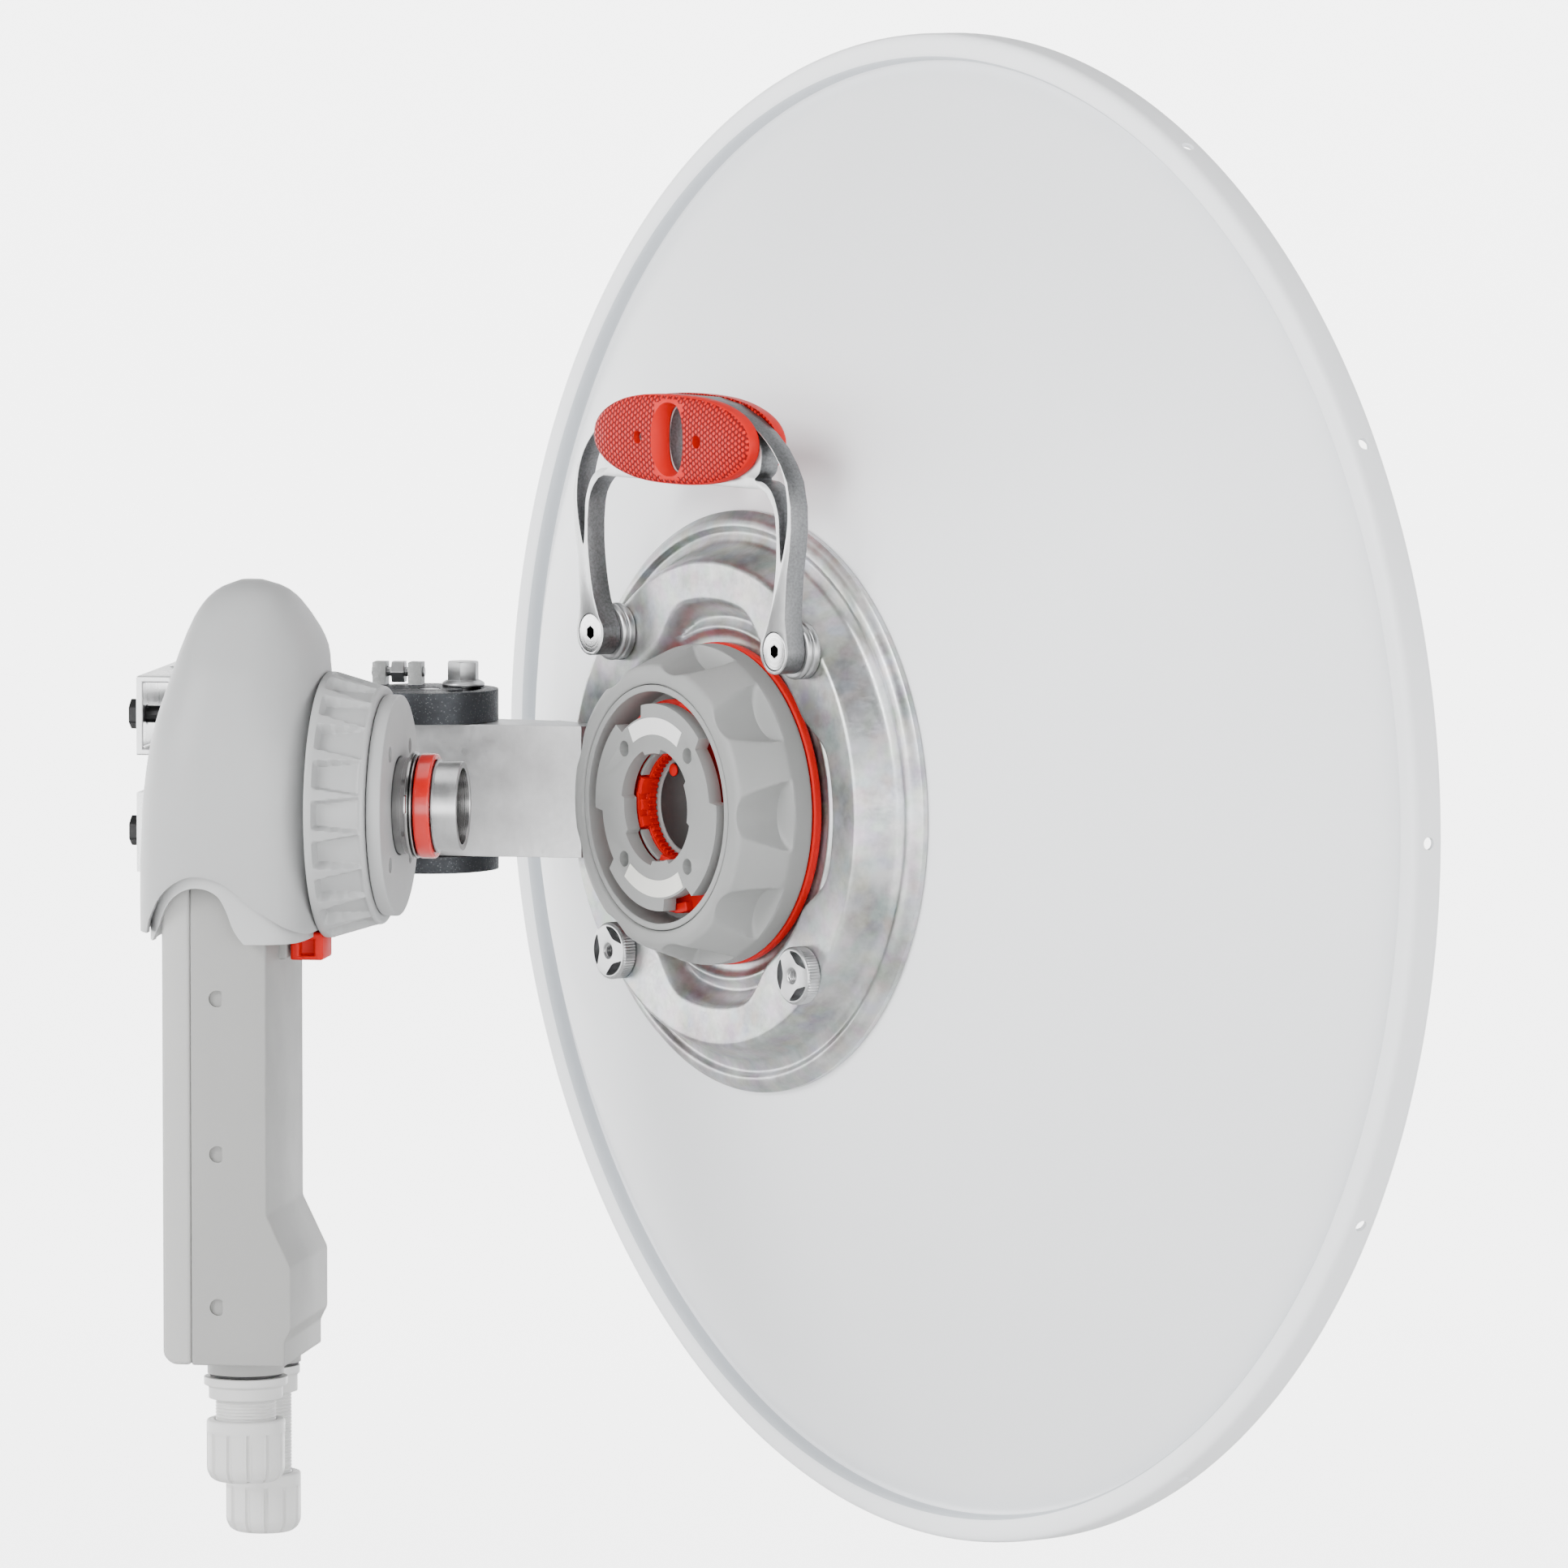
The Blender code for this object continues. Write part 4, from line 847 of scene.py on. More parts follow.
def oval(half_width, half_height, count=48, powers=(1.0, 1.0)):
    """An outline about the grip's centre, fuller than an ellipse where a power is under 1."""
    points = []
    for i in range(count):
        c, s = math.cos(FULL_TURN * i / count), math.sin(FULL_TURN * i / count)
        points.append((math.copysign(abs(c) ** powers[0], c) * half_width,
                       math.copysign(abs(s) ** powers[1], s) * half_height + GRIP_CENTRE))
    return points


def curved(points, per=5):
    """A smooth closed line through the points."""
    made = []
    total = len(points)
    for i in range(total):
        p0, p1, p2, p3 = (Vector(points[(i + k) % total]) for k in (-1, 0, 1, 2))
        for k in range(per):
            t = k / per
            made.append(tuple(0.5 * ((2 * p1) + (p2 - p0) * t
                                     + (2 * p0 - 5 * p1 + 4 * p2 - p3) * t * t
                                     + (3 * p1 - p0 - 3 * p2 + p3) * t ** 3)))
    return made


def make_handle():
    """Cut frame with two long slots, its two flush bolts, the grip's shells and their screws."""
    eye = (BOSS_X, BOSS_UP)
    outside = arc(eye, 0.0103, -90, 10, 14) + [
        (0.0785, 0.088), (0.0790, 0.097), (0.0800, 0.108), (0.0820, 0.118), (0.0832, 0.128),
        (0.0830, 0.138), (0.0803, 0.149), (0.0755, 0.1565), (0.0690, 0.1635), (0.0600, 0.1700),
        (0.0490, 0.1758), (0.0340, 0.1812), (0.0170, 0.1838)]
    inside = [(0.0480, 0.1450), (0.0600, 0.1452), (0.0640, 0.1438), (0.0676, 0.1405),
              (0.0700, 0.1370), (0.0714, 0.1330), (0.0724, 0.1246), (0.0724, 0.1153),
              (0.0717, 0.1080), (0.0706, 0.1014), (0.0692, 0.0950), (0.0676, 0.0895),
              (0.0640, 0.0815)] + arc(eye, 0.0103, 160, 255, 14)
    outline = outside + [(-x, y) for x, y in reversed(outside)]
    outline += [(-x, y) for x, y in reversed(inside)] + inside
    slot = curved([(0.0757, 0.1130), (0.0798, 0.126), (0.0807, 0.137), (0.0788, 0.148),
                   (0.0738, 0.1575), (0.0650, 0.1660), (0.0540, 0.1728), (0.0570, 0.1690),
                   (0.0610, 0.1620), (0.0600, 0.1530), (0.0560, 0.1490), (0.0630, 0.1480),
                   (0.0694, 0.1434), (0.0737, 0.1340), (0.0744, 0.1246)], 4)
    other = [(-x, y) for x, y in reversed(slot)]
    holes = [arc((x, BOSS_UP), 0.0088, 0, 354, 60) for x in (-BOSS_X, BOSS_X)]
    mesh = plate([outline, slot, other, oval(0.0085, 0.0150)] + holes, HANDLE_FRONT, HANDLE_BACK)
    mesh = two_tone(bevelled(mesh, 0.00035, 2, 40), BRUSHED, CUT_ALUMINIUM,
                    lambda face: abs(face.normal.z) <= 0.9)
    add("handle_arch_fine", mesh, BRUSHED, DISH, "dish", ["handle_frame"])

    for side, x in (("left", -BOSS_X), ("right", BOSS_X)):
        top = HANDLE_BACK - 0.0002
        profile = filleted([(0, top), (0.0085, top), (0.0085, HANDLE_FRONT + 0.0002),
                            (0.003, HANDLE_FRONT + 0.0002), (0.003, -0.0350), (0, -0.0350)],
                           0.0004, False)
        mesh = boolean(turned(profile, 96, False), [rod(0.0032, top - 0.004, 0, 6)])
        mesh = two_tone(mesh, DISC_STEEL[side], BLACK_STEEL,
                        lambda face: face.center.xy.length < 0.0031
                        and face.center.z < top - 0.0003)
        name = "handle_bolt_" + side
        add(name + "_fine", mesh, DISC_STEEL[side], DISH @ at(x, BOSS_UP, 0), "dish",
            [name])
    make_grip_shell("grip_shell_back", HANDLE_BACK + 0.0003, 1)
    make_grip_shell("grip_shell_front", HANDLE_FRONT - 0.0003, -1)
    for side, x, way in (("left", -GRIP_SCREW_X, 1), ("right", GRIP_SCREW_X, -1)):
        base = HANDLE_BACK + 0.0035 if way > 0 else HANDLE_FRONT - 0.0055
        profile = filleted([(0, base), (0.0027, base), (0.0027, base + 0.0014),
                            (0.0019, base + 0.0020), (0, base + 0.0020)], 0.0003, False)
        star = []
        for a in (FULL_TURN * k / 48 for k in range(48)):
            r = 0.0012 + 0.00025 * math.cos(6 * a)
            star.append((r * math.cos(a), r * math.sin(a)))
        socket = plate([star], base + 0.0008 if way > 0 else base - 0.001,
                       base + 0.003 if way > 0 else base + 0.0012)
        mesh = boolean(turned(profile, 48, False), [socket])
        name = "grip_screw_" + side
        add(name + "_fine", mesh, PLATED, DISH @ at(x, GRIP_CENTRE, 0), "dish",
            [name])


def make_grip_shell(name, base, way):
    """Half of the grip: straight walls, a rounded shoulder and a slightly crowned face."""
    steps = ((0.0, 0.0), (0.0040, 0.0), (0.0052, 0.0006), (0.0060, 0.0020), (0.0064, 0.0036),
             (0.0072, 0.0095), (0.0076, 0.0135))
    rings = [[(x, y, base + way * height)
              for x, y in oval(0.0600 - inset, 0.0200 - inset, 96, (0.80, 0.95))]
             for height, inset in steps]
    mesh = loft(rings)
    low, high = min(base, base + way * 0.009), max(base, base + way * 0.009)
    half_hole = (0.0086, 0.0151)
    hole = [[(x, y, z) for x, y in oval(half_hole[0] + grow, half_hole[1] + grow * 0.6,
                                        powers=(0.78, 0.78))]
            for z, grow in ((base - way * 0.001, 0.0), (base + way * 0.0007, 0.0),
                            (base + way * 0.0044, 0.0013), (base + way * 0.0066, 0.0026),
                            (base + way * 0.0082, 0.0042))]
    tools = [loft(hole)]
    tools += [moved(rod(0.0030, low - 0.001, high + 0.001, 28), at(x, GRIP_CENTRE, 0))
              for x in (-GRIP_SCREW_X, GRIP_SCREW_X)]
    rim, screw_rim = 0.0042, 0.0034

    def is_smooth(face):
        x, y = face.center.x, face.center.y - GRIP_CENTRE
        near_hole = (x / (half_hole[0] + rim)) ** 2 + (y / (half_hole[1] + rim * 0.7)) ** 2 < 1
        near_screw = math.hypot(abs(x) - GRIP_SCREW_X, y) < screw_rim
        return abs(face.normal.z) < 0.5 or near_hole or near_screw

    mesh = two_tone(boolean(mesh, tools), GRIP, RED, is_smooth)
    add(name + "_fine", mesh, GRIP, DISH, "dish", [name])


# ---------------------------------------------------------------- adaptor and radio

def make_adaptor():
    """Stepped waveguide tube with its spring clip, red O-ring, flange and ribbed ring."""
    tube = [(0.0170, 0), (0.0198, 0), (0.0198, 0.0106), (0.0212, 0.0110), (0.0200, 0.0113),
            (0.0200, 0.0194), (0.0232, 0.0196), (0.0232, 0.0206), (0.0215, 0.0206),
            (0.0215, 0.0800), (0.0170, 0.0800)]
    mesh = two_tone(turned(filleted(tube, 0.0005), 144), BRUSHED, TUBE_STEEL,
                    lambda face: face.center.z > 0.0192)
    clip = ring_band(0.0216, 0.0240, 8, 352, 0.0211, 0.0228, 80)
    tabs = [ring_band(0.0230, 0.0272, turn - 9, turn + 9, 0.0213, 0.0226) for turn in (96, 268)]
    mesh = joined([mesh] + [painted(bevelled(part, 0.0003), TUBE_STEEL) for part in [clip] + tabs])
    add("waveguide_tube_fine", mesh, TUBE_STEEL, RADIO @ AXIS_X, "adaptor",
        ["waveguide_tube"])
    band = filleted([(0.0203, 0.0117), (0.0233, 0.0117), (0.0233, 0.0190), (0.0203, 0.0190)],
                    0.0014, True, 5)
    add("o_ring_fine", turned(band, 144), RED_RUBBER, RADIO @ AXIS_X, "adaptor",
        ["o_ring"])
    flange = [(0.0218, 0.0285), (0.049, 0.0285), (0.049, 0.0349), (0.0425, 0.0349),
              (0.0425, 0.0720), (0.0218, 0.0720)]
    mesh = turned(filleted(flange, 0.0007), 144)
    tools = [moved(rod(0.0036, 0.020, 0.0330, 28), at(-z, y, 0))
             for y in (-0.024, 0.024) for z in (-0.0245, 0.0245)]
    add("adaptor_flange_fine", boolean(mesh, tools), PALE_PLASTIC, RADIO @ AXIS_X, "adaptor",
        ["adaptor_flange"])
    make_ribbed_ring()


def make_ribbed_ring():
    """Locking ring whose outside is cut by trapezoid pockets between ribs."""
    pockets, front, back = 20, 0.0353, 0.0611
    profile = [(0.0429, front), (0.0525, front), (0.0590, 0.0580), (0.0590, back), (0.0429, back)]
    profile = dense(filleted(profile, 0.0010, True, 3), 0.0008)

    def pocketed(r, angle, h):
        if r < 0.0470:
            return r, h
        sector = FULL_TURN / pockets
        away = abs((angle + sector / 2) % sector - sector / 2)
        along = (h - front) / 0.0258
        half = sector * (0.47 - 0.19 * along)
        inside = 1 - smoothstep(half - 0.012, half + 0.012, away)
        inside *= (1 - smoothstep(0.0562, 0.0576, h)) * smoothstep(0.0368, 0.0382, h)
        floor = 0.0508 + 0.10 * (h - front)
        return r - max(0.0, r - floor) * inside, h

    mesh = turned(profile, 480, True, pocketed)
    add("ribbed_ring_fine", mesh, PALE_PLASTIC, RADIO @ AXIS_X, "adaptor_ring",
        ["ribbed_ring"], 50)


HOOD_LEVELS = (  # height, front, back, half width
    (-0.0540, 0.0615, 0.1412, 0.0560), (-0.0370, 0.0615, 0.1412, 0.0570),
    (-0.0200, 0.0615, 0.1408, 0.0578), (0.0100, 0.0615, 0.1390, 0.0575),
    (0.0350, 0.0615, 0.1350, 0.0540), (0.0594, 0.0615, 0.1275, 0.0460),
    (0.0720, 0.0625, 0.1235, 0.0390), (0.0870, 0.0710, 0.1170, 0.0285),
    (0.0960, 0.0800, 0.1090, 0.0165), (0.1000, 0.0915, 0.0990, 0.0050))


def hood_row(height):
    """Front, back and half width of the hood at a height, smoothly between the levels."""
    levels = HOOD_LEVELS
    for i in range(len(levels) - 1):
        if height <= levels[i + 1][0]:
            break
    p = [levels[max(0, min(len(levels) - 1, i + k))] for k in (-1, 0, 1, 2)]
    t = (height - p[1][0]) / (p[2][0] - p[1][0])
    row = []
    for k in (1, 2, 3):
        before = (p[2][k] - p[0][k]) / max(1e-6, p[2][0] - p[0][0]) * (p[2][0] - p[1][0])
        after = (p[3][k] - p[1][k]) / max(1e-6, p[3][0] - p[1][0]) * (p[2][0] - p[1][0])
        row.append((2 * t ** 3 - 3 * t ** 2 + 1) * p[1][k] + (t ** 3 - 2 * t ** 2 + t) * before
                   + (3 * t ** 2 - 2 * t ** 3) * p[2][k] + (t ** 3 - t ** 2) * after)
    return row


def hood_ring(height, inset, drop=0.0):
    """The hood's outline at a height, moved inwards by the inset and down by the drop."""
    sides = 96
    front, back, width = hood_row(height)
    middle, depth = (front + back) / 2, max(0.0006, (back - front) / 2 - inset)
    width = max(0.0006, width - inset)
    ring = []
    for i in range(sides):
        turn = FULL_TURN * i / sides
        c, s = math.cos(turn), math.sin(turn)
        power = 0.58 if c > 0 else 0.40 + 0.45 * smoothstep(0.015, 0.075, height)
        ring.append((middle + math.copysign(abs(c) ** power, c) * depth,
                     math.copysign(abs(s) ** power, s) * width, height - drop))
    return ring


def levelled(ring, height):
    return [(x, y, height) for x, y, z in ring]


def make_hood():
    """Cowl over the radio's top: an egg-shaped shell, arched below, with a lower inner skirt."""
    heights = [-0.0540 + 0.0040 * i for i in range(34)] + [
        0.0840, 0.0870, 0.0900, 0.0925, 0.0950, 0.0970, 0.0985, 0.0995]
    wall, cavity_floor = 0.0030, -0.0700
    shell = loft([hood_ring(h, 0.0) for h in heights])
    inner = [hood_ring(h, wall, drop=0.0015) for h in heights[1:-3]]
    inner = [levelled(inner[0], cavity_floor)] + inner
    arch = curved([(0.0560, -0.0570), (0.0615, -0.0545), (0.0700, -0.0505), (0.0780, -0.0455),
                   (0.0850, -0.0410), (0.0920, -0.0350), (0.0990, -0.0303), (0.1080, -0.0280),
                   (0.1160, -0.0292), (0.1240, -0.0345), (0.1300, -0.0430), (0.1340, -0.0560),
                   (0.1340, -0.0900), (0.0560, -0.0900)], 4)
    front_bore = moved(rod(0.0429, 0.050, 0.0735, 96), AXIS_X)
    catch_slot = ((0.0650, -0.0063, -0.062), (0.0723, 0.0063, -0.045))
    shell = boolean(shell, [loft(inner), front_bore, side_plate(arch, -0.08, 0.08),
                            block(*catch_slot)])

    skirt_rows = [h for h in heights if h < -0.0180]
    skirt = [hood_ring(h, 0.0042) for h in skirt_rows]
    skirt = [levelled(skirt[0], -0.0580)] + skirt
    hollow = [hood_ring(h, 0.0066) for h in skirt_rows]
    hollow = [levelled(hollow[0], cavity_floor)] + hollow + [levelled(hollow[-1], 0.0)]
    lower = curved([(0.0800, -0.0640), (0.0880, -0.0590), (0.0935, -0.0520), (0.0970, -0.0430),
                    (0.1010, -0.0365), (0.1080, -0.0335), (0.1160, -0.0345), (0.1230, -0.0400),
                    (0.1280, -0.0500), (0.1300, -0.0640)], 4)
    skirt = boolean(loft(skirt), [loft(hollow), front_bore, side_plate(lower, -0.08, 0.08),
                                  block(*catch_slot)])
    shell = evaluated(shell, [("BEVEL", {"width": 0.0008, "segments": 2, "limit_method": "ANGLE",
                                         "angle_limit": math.radians(50)})])
    pieces = [painted(shell, PALE_PLASTIC), painted(skirt, SKIRT_PLASTIC)]
    add("hood_fine", joined(pieces), PALE_PLASTIC, RADIO, "adaptor",
        ["hood"], 40)
    screw = filleted([(0, 0), (0.0032, 0), (0.0032, 0.0006), (0.0022, 0.0014), (0, 0.0014)],
                     0.0003, False)
    for side in (-1, 1):
        place = at(0.0770, side * 0.0462, -0.0545) @ Matrix.Rotation(side * -1.75, 4, "X")
        add("hood_screw_" + ("near", "far")[side > 0], turned(screw, 48, False), PLATED,
            RADIO @ place, "adaptor")

    recesses = [block((0.0655, y, -0.0665), (0.0722, y + 0.0060, -0.0592))
                for y in (0.0060, -0.0120)]
    latch = boolean(block((0.0615, -0.0110, -0.0685), (0.0762, 0.0110, -0.0560)), recesses)
    catch = block((0.0653, -0.0060, -0.0580), (0.0720, 0.0060, -0.0470))
    latch = boolean(latch, [catch], "UNION")
    add("latch_fine", bevelled(latch, 0.0014, 3), RED, RADIO, "latch",
        ["latch_button"])


def make_radio():
    """Front shell with D-shaped recesses and a catch lug, rear shell, and the two glands."""
    half = HALF_WIDTH
    side = [(SEAM - 0.00005, -0.2460), (SEAM - 0.00005, 0.0240), (0.0830, 0.0240),
            (0.0810, 0.0220), (0.0810, -0.1790), (0.0700, -0.2020), (0.0700, -0.2290),
            (0.0730, -0.2350), (0.0730, -0.2460)]
    mesh = bevelled(side_plate(side, -half, half), 0.0010, 3, 20)
    bosses = [moved(rod(0.0170, -0.2525, -0.2400, 64), at(GLAND_X, y, 0)) for y in GLAND_SIDES]
    mesh = boolean(mesh, bosses, "UNION")
    tools = []
    for z in (-0.083, -0.152, -0.220):
        for y in (half, -half):
            dee = arc((0.1030, z), 0.0037, -125, 125, 18)
            tools.append(moved(side_plate(dee, -0.0022, 0.0022), at(0, y, 0)))
    tools += [moved(rod(0.0115, -0.26, -0.22, 48), at(GLAND_X, y, 0)) for y in GLAND_SIDES]
    shell = boolean(mesh, tools)
    lug = bevelled(block((0.0775, -0.012, -0.0680), (0.0830, 0.012, -0.0580)), 0.0008)
    shell = boolean(shell, [lug], "UNION")
    add("radio_front_fine", shell, RADIO_SHELL, RADIO, "radio",
        ["radio_front_shell"])
    back = [(SEAM, -0.2460), (0.1240, -0.2460), (0.1280, -0.2420), (0.1280, 0.0210),
            (0.1250, 0.0240), (SEAM, 0.0240)]
    mesh = bevelled(side_plate(back, -half, half), 0.0022, 4, 20)
    add("radio_rear_fine", mesh, RADIO_REAR, RADIO, "radio",
        ["radio_rear_shell"])

    make_gland("1", GLAND_SIDES[0], flange=0.0186, collar=0.0165, collar_end=-0.2636,
               shaft=0.0135, nut_radius=0.0175, nut_top=-0.2730, nut_bottom=-0.3010)
    make_gland("2", GLAND_SIDES[1], flange=0.0165, collar=0.0155, collar_end=-0.2656,
               shaft=0.0128, nut_radius=0.0168, nut_top=-0.3020, nut_bottom=-0.3290)


def make_gland(number, y, flange, collar, collar_end, shaft, nut_radius, nut_top, nut_bottom):
    """Cable gland: gasket, flange, collar, threaded body and a grooved dome nut."""
    place = RADIO @ at(GLAND_X, y, 0)
    end = nut_bottom + 0.0110
    body = [(0.0112, -0.2540), (flange, -0.2540), (flange, -0.2575), (collar, -0.2585),
            (collar, collar_end), (shaft, collar_end - 0.0010)]
    pitch = 0.0015
    turns = int((collar_end - 0.0010 - end) / pitch)
    for i in range(turns):
        top = collar_end - 0.0010 - i * pitch
        body += [(shaft - 0.0007, top - pitch * 0.30), (shaft, top - pitch * 0.62),
                 (shaft, top - pitch * 0.95)]
    body += [(0.0080, end), (0.0080, -0.2600)]
    add("gland_body_fine_" + number, turned(filleted(body, 0.0003, True, 2), 96), NYLON, place,
        "radio", ["gland_body_" + number], 50)
    gasket = filleted([(0.0118, -0.2528), (0.0160, -0.2528), (0.0160, -0.2537),
                       (0.0118, -0.2537)], 0.0002)
    add("gland_gasket_fine_" + number, turned(gasket, 64), RUBBER, place, "radio",
        ["gland_gasket_" + number])

    bore = shaft + 0.0003
    band = nut_top - 0.0060
    profile = [(bore, nut_top), (nut_radius - 0.0008, nut_top), (nut_radius, nut_top - 0.0008),
               (nut_radius, nut_bottom + 0.0050), (nut_radius - 0.0016, nut_bottom + 0.0016),
               (nut_radius - 0.0045, nut_bottom), (0.0070, nut_bottom),
               (0.0070, nut_bottom + 0.0040), (bore, nut_bottom + 0.0060)]
    profile = dense(filleted(profile, 0.0012, True, 3), 0.0009)
    flats = 12

    def grooved(r, angle, h):
        if r < nut_radius - 0.0030:
            return r, h
        sector = FULL_TURN / flats
        away = abs((angle + sector / 2) % sector - sector / 2) / (sector / 2)
        below = 1 - smoothstep(band - 0.0008, band, h)
        notch = smoothstep(0.72, 0.92, away)
        return r - (0.0011 * notch + 0.0003 * (away < 0.7)) * below, h

    add("gland_nut_fine_" + number, turned(profile, 288, True, grooved), NYLON, place,
        "gland_cap_" + number, ["gland_nut_" + number], 45)


# ---------------------------------------------------------------- mount

def hex_head(radius, low, high, chamfer=0.0007):
    """A hexagon with its outer corners turned off."""
    mesh = rod(radius, low, high, 6)
    cone = turned(filleted([(0, low - 0.001), (radius * 1.2, low - 0.001),
                            (radius * 1.2, high - chamfer * 2.2), (radius * 0.88, high),
                            (0, high)], 0.0001, False), 64, False)
    mesh = boolean(mesh, [cone], "INTERSECT")
    return bevelled(mesh, 0.00025)


def make_clevis():
    """The same casting as the CAD node, with round ears and barrel and softened edges."""
    pivot, barrel = (PIVOT_S, POLE_T), 0.1125
    ear = arc(pivot, 0.0315, 38, 322, 80)
    ear = [(0.1070, ear[0][1])] + ear + [(0.1070, ear[-1][1])]
    low, high = ear[-1][1], ear[0][1]
    mesh = plate([ear], ARM_FACE + 0.0003, 0.0445)
    parts = [plate([ear], -0.0375, -ARM_FACE - 0.0003),
             block((0.1009, low + 0.0008, -0.0370), (0.1066, high - 0.0008, 0.0440)),
             moved(rod(0.0115, low + 0.001, high - 0.001, 64), at(barrel, 0, 0), AXIS_Y),
             block((0.1012, low + 0.0012, -0.0105), (barrel, high - 0.0012, 0.0105))]
    parts += [block((s, -0.0465, 0.0400), (s + 0.006, -0.0365, 0.0550)) for s in (0.0805, 0.0970)]
    mesh = boolean(mesh, parts, "UNION")
    slot = arc(pivot, 0.0239, 258, 126, 40) + arc(pivot, 0.0151, 126, 258, 40)
    tools = [plate([slot], 0.028, 0.060), moved(rod(0.0053, -0.06, 0.08, 48), at(*pivot, 0)),
             moved(rod(0.0063, -0.07, 0.03, 48), at(barrel, 0, 0), AXIS_Y),
             moved(rod(0.0026, 0.07, 0.11, 24), at(0, -0.0415, 0.0505), AXIS_X)]
    mesh = bevelled(boolean(mesh, tools), 0.0010, 3, 40)
    add("clevis_fine", mesh, CASTING, ARM, "tilt_head", ["clevis"], 40)


def make_mount():
    """The mount's CAD nodes with fine edges, a finer clevis and a finer azimuth clamp bolt."""
    refine("bracket_arm", ARM_ZINC, 0.0006, 3)
    make_clevis()
    refine("clamp_block", CASTING, 0.0012, 3)
    for name in ("jaw_upper", "jaw_lower"):
        refine(name, JAW_STEEL, 0.0008, 3)
    for name in ("arm_bolt_lower", "arm_bolt_upper", "azimuth_pin", "azimuth_clamp_nut",
                 "adjust_screw", "elevation_bolt", "elevation_nut"):
        refine(name, PLATED, 0.0003)
    for name in ("jaw_bolt_upper_far", "jaw_bolt_upper_near", "jaw_bolt_lower_far",
                 "jaw_bolt_lower_near"):
        refine(name, BLACK_STEEL, 0.0006, 3)
    clamp = arc((PIVOT_S, POLE_T), 0.0195, 228, 228.1, 2)[0]
    washer = turned(filleted([(0, 0.0448), (0.0098, 0.0448), (0.0098, 0.0462), (0.0078, 0.0475),
                              (0, 0.0475)], 0.0005, False), 64, False)
    shank = turned([(0, 0.0190)] + threaded(0.0036, 0.0190, 0.0440, 0.00125, 0.0004, 0.0036)[1:-1]
                   + [(0.0036, 0.0455), (0, 0.0455)], 48, False)
    bolt = joined([washer, shank, hex_head(0.0075, 0.0470, 0.0560)])
    add("azimuth_bolt_fine", bolt, PLATED, ARM @ at(*clamp, 0), "dish",
        ["azimuth_clamp_bolt"])


def make_feed():
    """What sits in the bowl, and the other hidden nodes."""
    guide = filleted([(0.0190, -0.0296), (0.0208, -0.0296), (0.0208, -0.180), (0.0190, -0.180)],
                     0.0004)
    add("feed_waveguide_fine", turned(guide, 96), PLATED, DISH, "dish",
        ["feed_waveguide"])
    cone = [(0, -0.170), (0.0186, -0.170), (0.0186, -0.1803), (0.021, -0.1803),
            (0.024, -0.1840), (0.024, -0.1855), (0.028, -0.1870), (0.028, -0.1890),
            (0.032, -0.1905), (0.032, -0.1925), (0.036, -0.1940), (0.036, -0.1960), (0, -0.1960)]
    add("feed_cone_fine", turned(filleted(cone, 0.0005, False), 128, False), NYLON, DISH, "dish",
        ["feed_cone"])
    disc = [(0, -0.1963), (0.038, -0.1963), (0.038, -0.1985), (0.024, -0.1985),
            (0.022, -0.1979), (0, -0.1979)]
    add("subreflector_fine", turned(filleted(disc, 0.0005, False), 128, False), BRUSHED, DISH,
        "dish", ["subreflector"])
    refine("front_clamp_ring", ZINC, 0.0006)
    refine("housing_ring_nut", ZINC, 0.0004)
    refine("circuit_board", BOARD, 0.0002)


# ---------------------------------------------------------------- stage

CAMERA_AZIMUTH, CAMERA_ELEVATION = math.radians(233.88), math.radians(4.92)
CAMERA_DISTANCE, CAMERA_LENS = 5.92, 304.0
BACKDROP_GLOW, SKY_STRENGTH = 3.8, 0.22
AIM = PORT + Vector((-0.0333, -0.0472, 0.0105))


def back_vector(azimuth, elevation):
    return Vector((math.sin(azimuth) * math.cos(elevation),
                   -math.cos(azimuth) * math.cos(elevation), math.sin(elevation)))


def make_camera():
    data = bpy.data.cameras.new("camera")
    data.lens = CAMERA_LENS
    data.sensor_width = 36
    data.clip_start, data.clip_end = 0.1, 40
    camera = bpy.data.objects.new("camera", data)
    back = back_vector(CAMERA_AZIMUTH, CAMERA_ELEVATION)
    camera.location = AIM + back * CAMERA_DISTANCE
    camera.rotation_euler = (-back).to_track_quat("-Z", "Y").to_euler()
    bpy.context.scene.collection.objects.link(camera)
    bpy.context.scene.camera = camera


def area_light(name, place, size, power):
    """A square white lamp that faces the object."""
    data = bpy.data.lights.new(name, "AREA")
    data.shape = "SQUARE"
    data.size = size
    data.energy = power
    light = bpy.data.objects.new(name, data)
    light.location = place
    light.rotation_euler = (AIM - Vector(place)).to_track_quat("-Z", "Y").to_euler()
    bpy.context.scene.collection.objects.link(light)


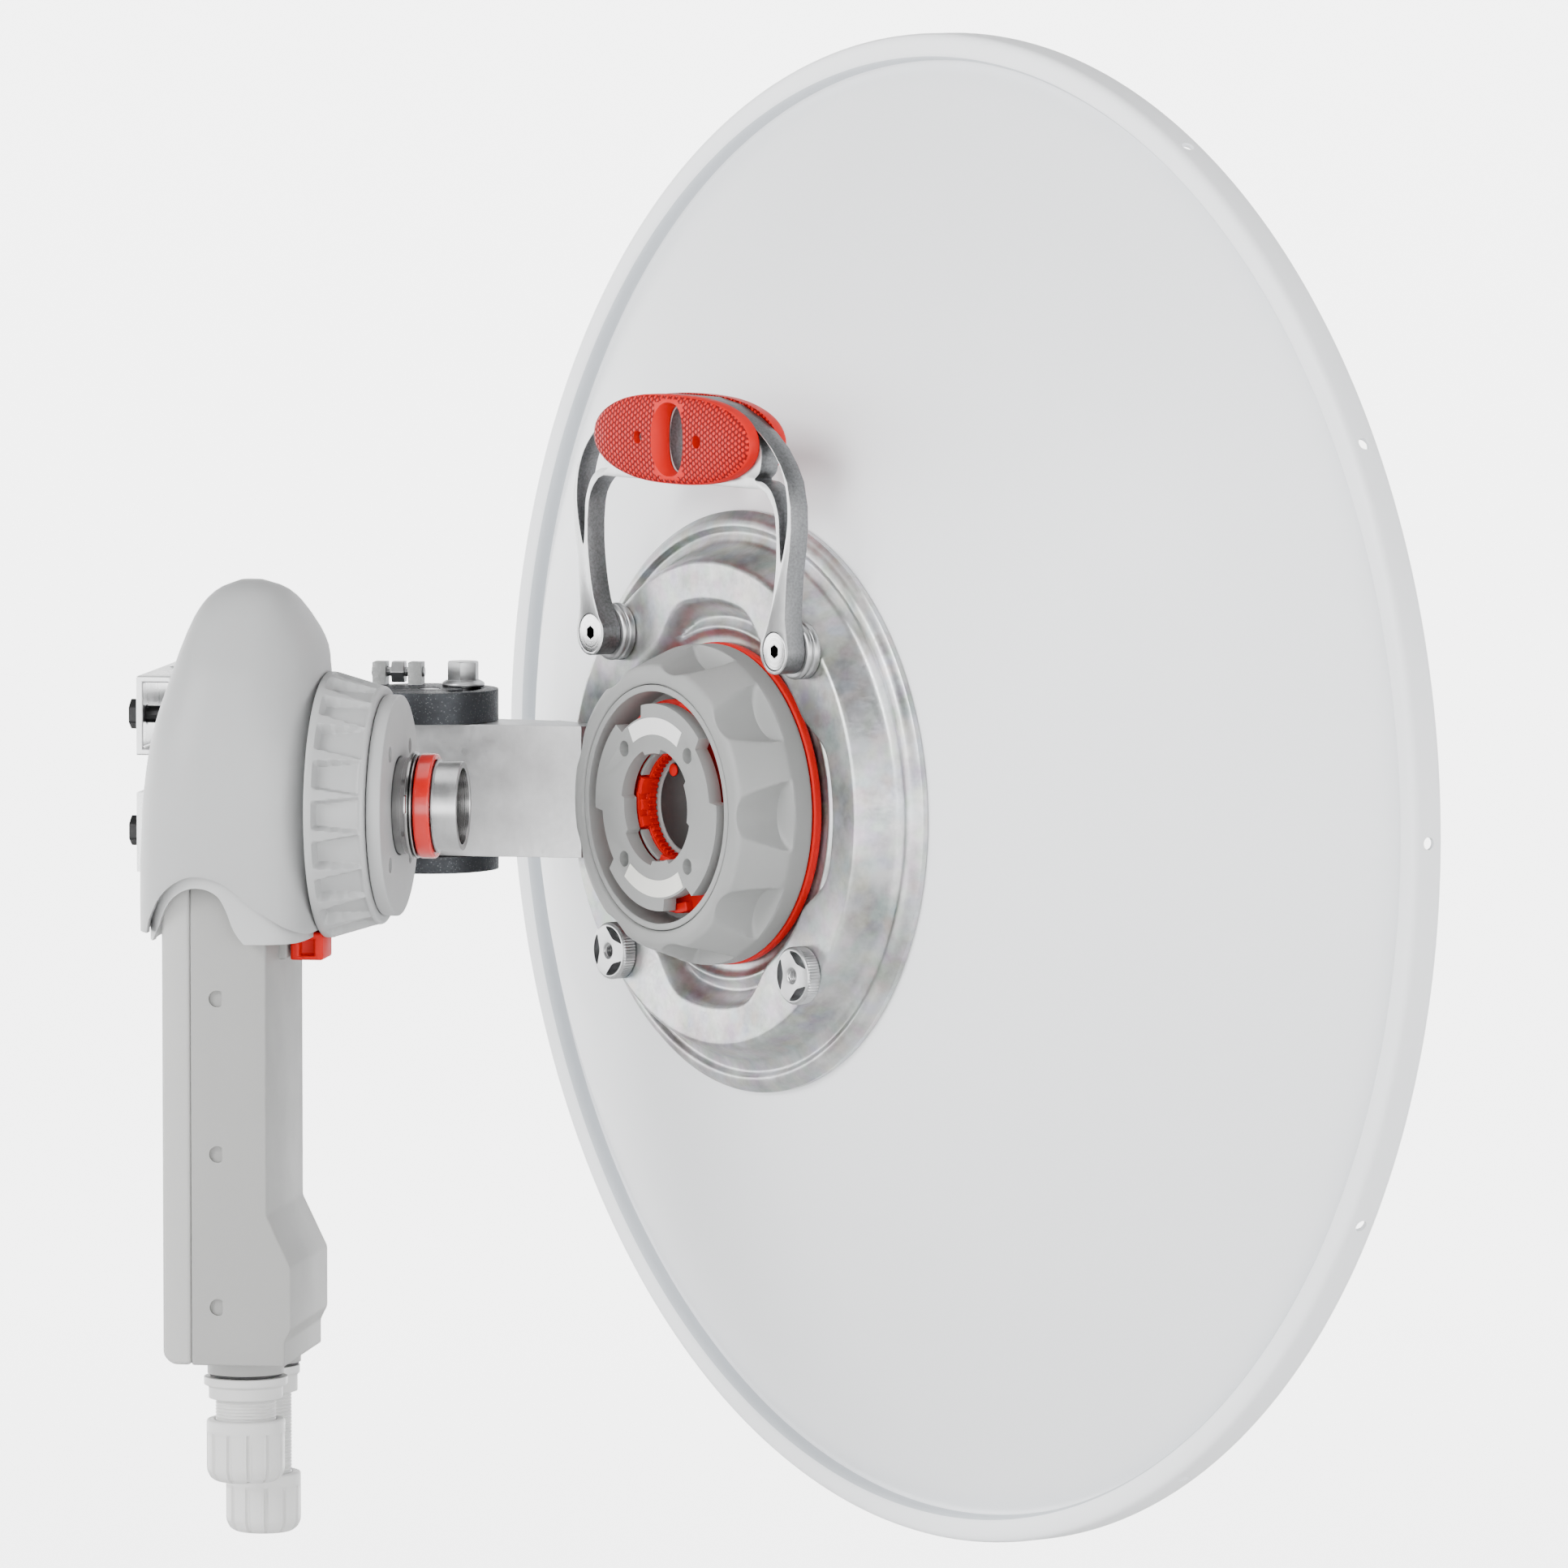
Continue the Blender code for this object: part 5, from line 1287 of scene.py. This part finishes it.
def studio_white():
    """White that glows far from the object, as a lit backdrop does, and not near it."""
    made = Shader("studio_white", 0.9)
    made.colour(made.ramp(made.noise(2.0, 2), (0.4, (0.93, 0.93, 0.93)), (0.6, (0.94, 0.94, 0.94))))
    x, y, z = made.split(made.mapped(centre=tuple(AIM)))
    far = made.ramp(made.math("DIVIDE", made.radius(x, y), 10.0), (0.56, 0.0), (0.76, 1.0))
    low = made.ramp(made.math("DIVIDE", z, 10.0), (0.077, 1.0), (0.206, 0.0))
    glow = made.math("MULTIPLY", made.math("MULTIPLY", far, low), BACKDROP_GLOW)
    made.base.inputs["Emission Color"].default_value = (1, 1, 1, 1)
    made.join(glow, made.base.inputs["Emission Strength"])
    return made.material


def make_stage():
    """Pale cyclorama that is the same from all sides, a soft sky and three large lamps."""
    floor_height, flat, curl, top = -1.5, 10.3, 3.2, 7.3
    profile = [(0.0, 0.0), (flat, 0.0)]
    profile += [(flat + curl * math.sin(a), curl - curl * math.cos(a))
                for a in (math.radians(d) for d in range(10, 91, 10))]
    mesh = turned(profile + [(flat + curl, top)], 96, False)
    mesh.transform(Matrix.Translation((AIM.x, AIM.y, floor_height)))
    shade(mesh, 60)
    mesh.materials.append(studio_white())
    floor = bpy.data.objects.new("studio_floor", mesh)
    bpy.context.scene.collection.objects.link(floor)

    world = bpy.data.worlds.new("studio")
    world.use_nodes = True
    sky = world.node_tree.nodes["Background"]
    sky.inputs["Color"].default_value = (1.0, 1.0, 1.0, 1)
    sky.inputs["Strength"].default_value = SKY_STRENGTH
    bpy.context.scene.world = world
    side = Vector((math.cos(CAMERA_AZIMUTH), math.sin(CAMERA_AZIMUTH), 0))
    back = back_vector(CAMERA_AZIMUTH, 0)
    up = Vector((0, 0, 1))
    area_light("key", AIM + back * 2.2 - side * 2.6 + up * 1.7, 1.5, 120)
    area_light("fill", AIM + back * 3.0 + side * 1.2 + up * 0.6, 1.8, 9)
    area_light("top", AIM + up * 2.8 - side * 0.3, 2.2, 34)


DISC_STEEL = {side: turned_steel("disc_steel_" + side, (0.78, 0.78, 0.785),
                                 DISH @ at(x, BOSS_UP, 0), 0.22)
              for side, x in (("left", -BOSS_X), ("right", BOSS_X))}
TUBE_STEEL = turned_steel("tube_steel", (0.36, 0.357, 0.355), RADIO @ AXIS_X, 0.20)

make_camera()
make_stage()
make_reflector()
make_back_plate()
make_slotted_bolts()
make_port()
make_handle()
make_adaptor()
make_hood()
make_radio()
make_mount()
make_feed()
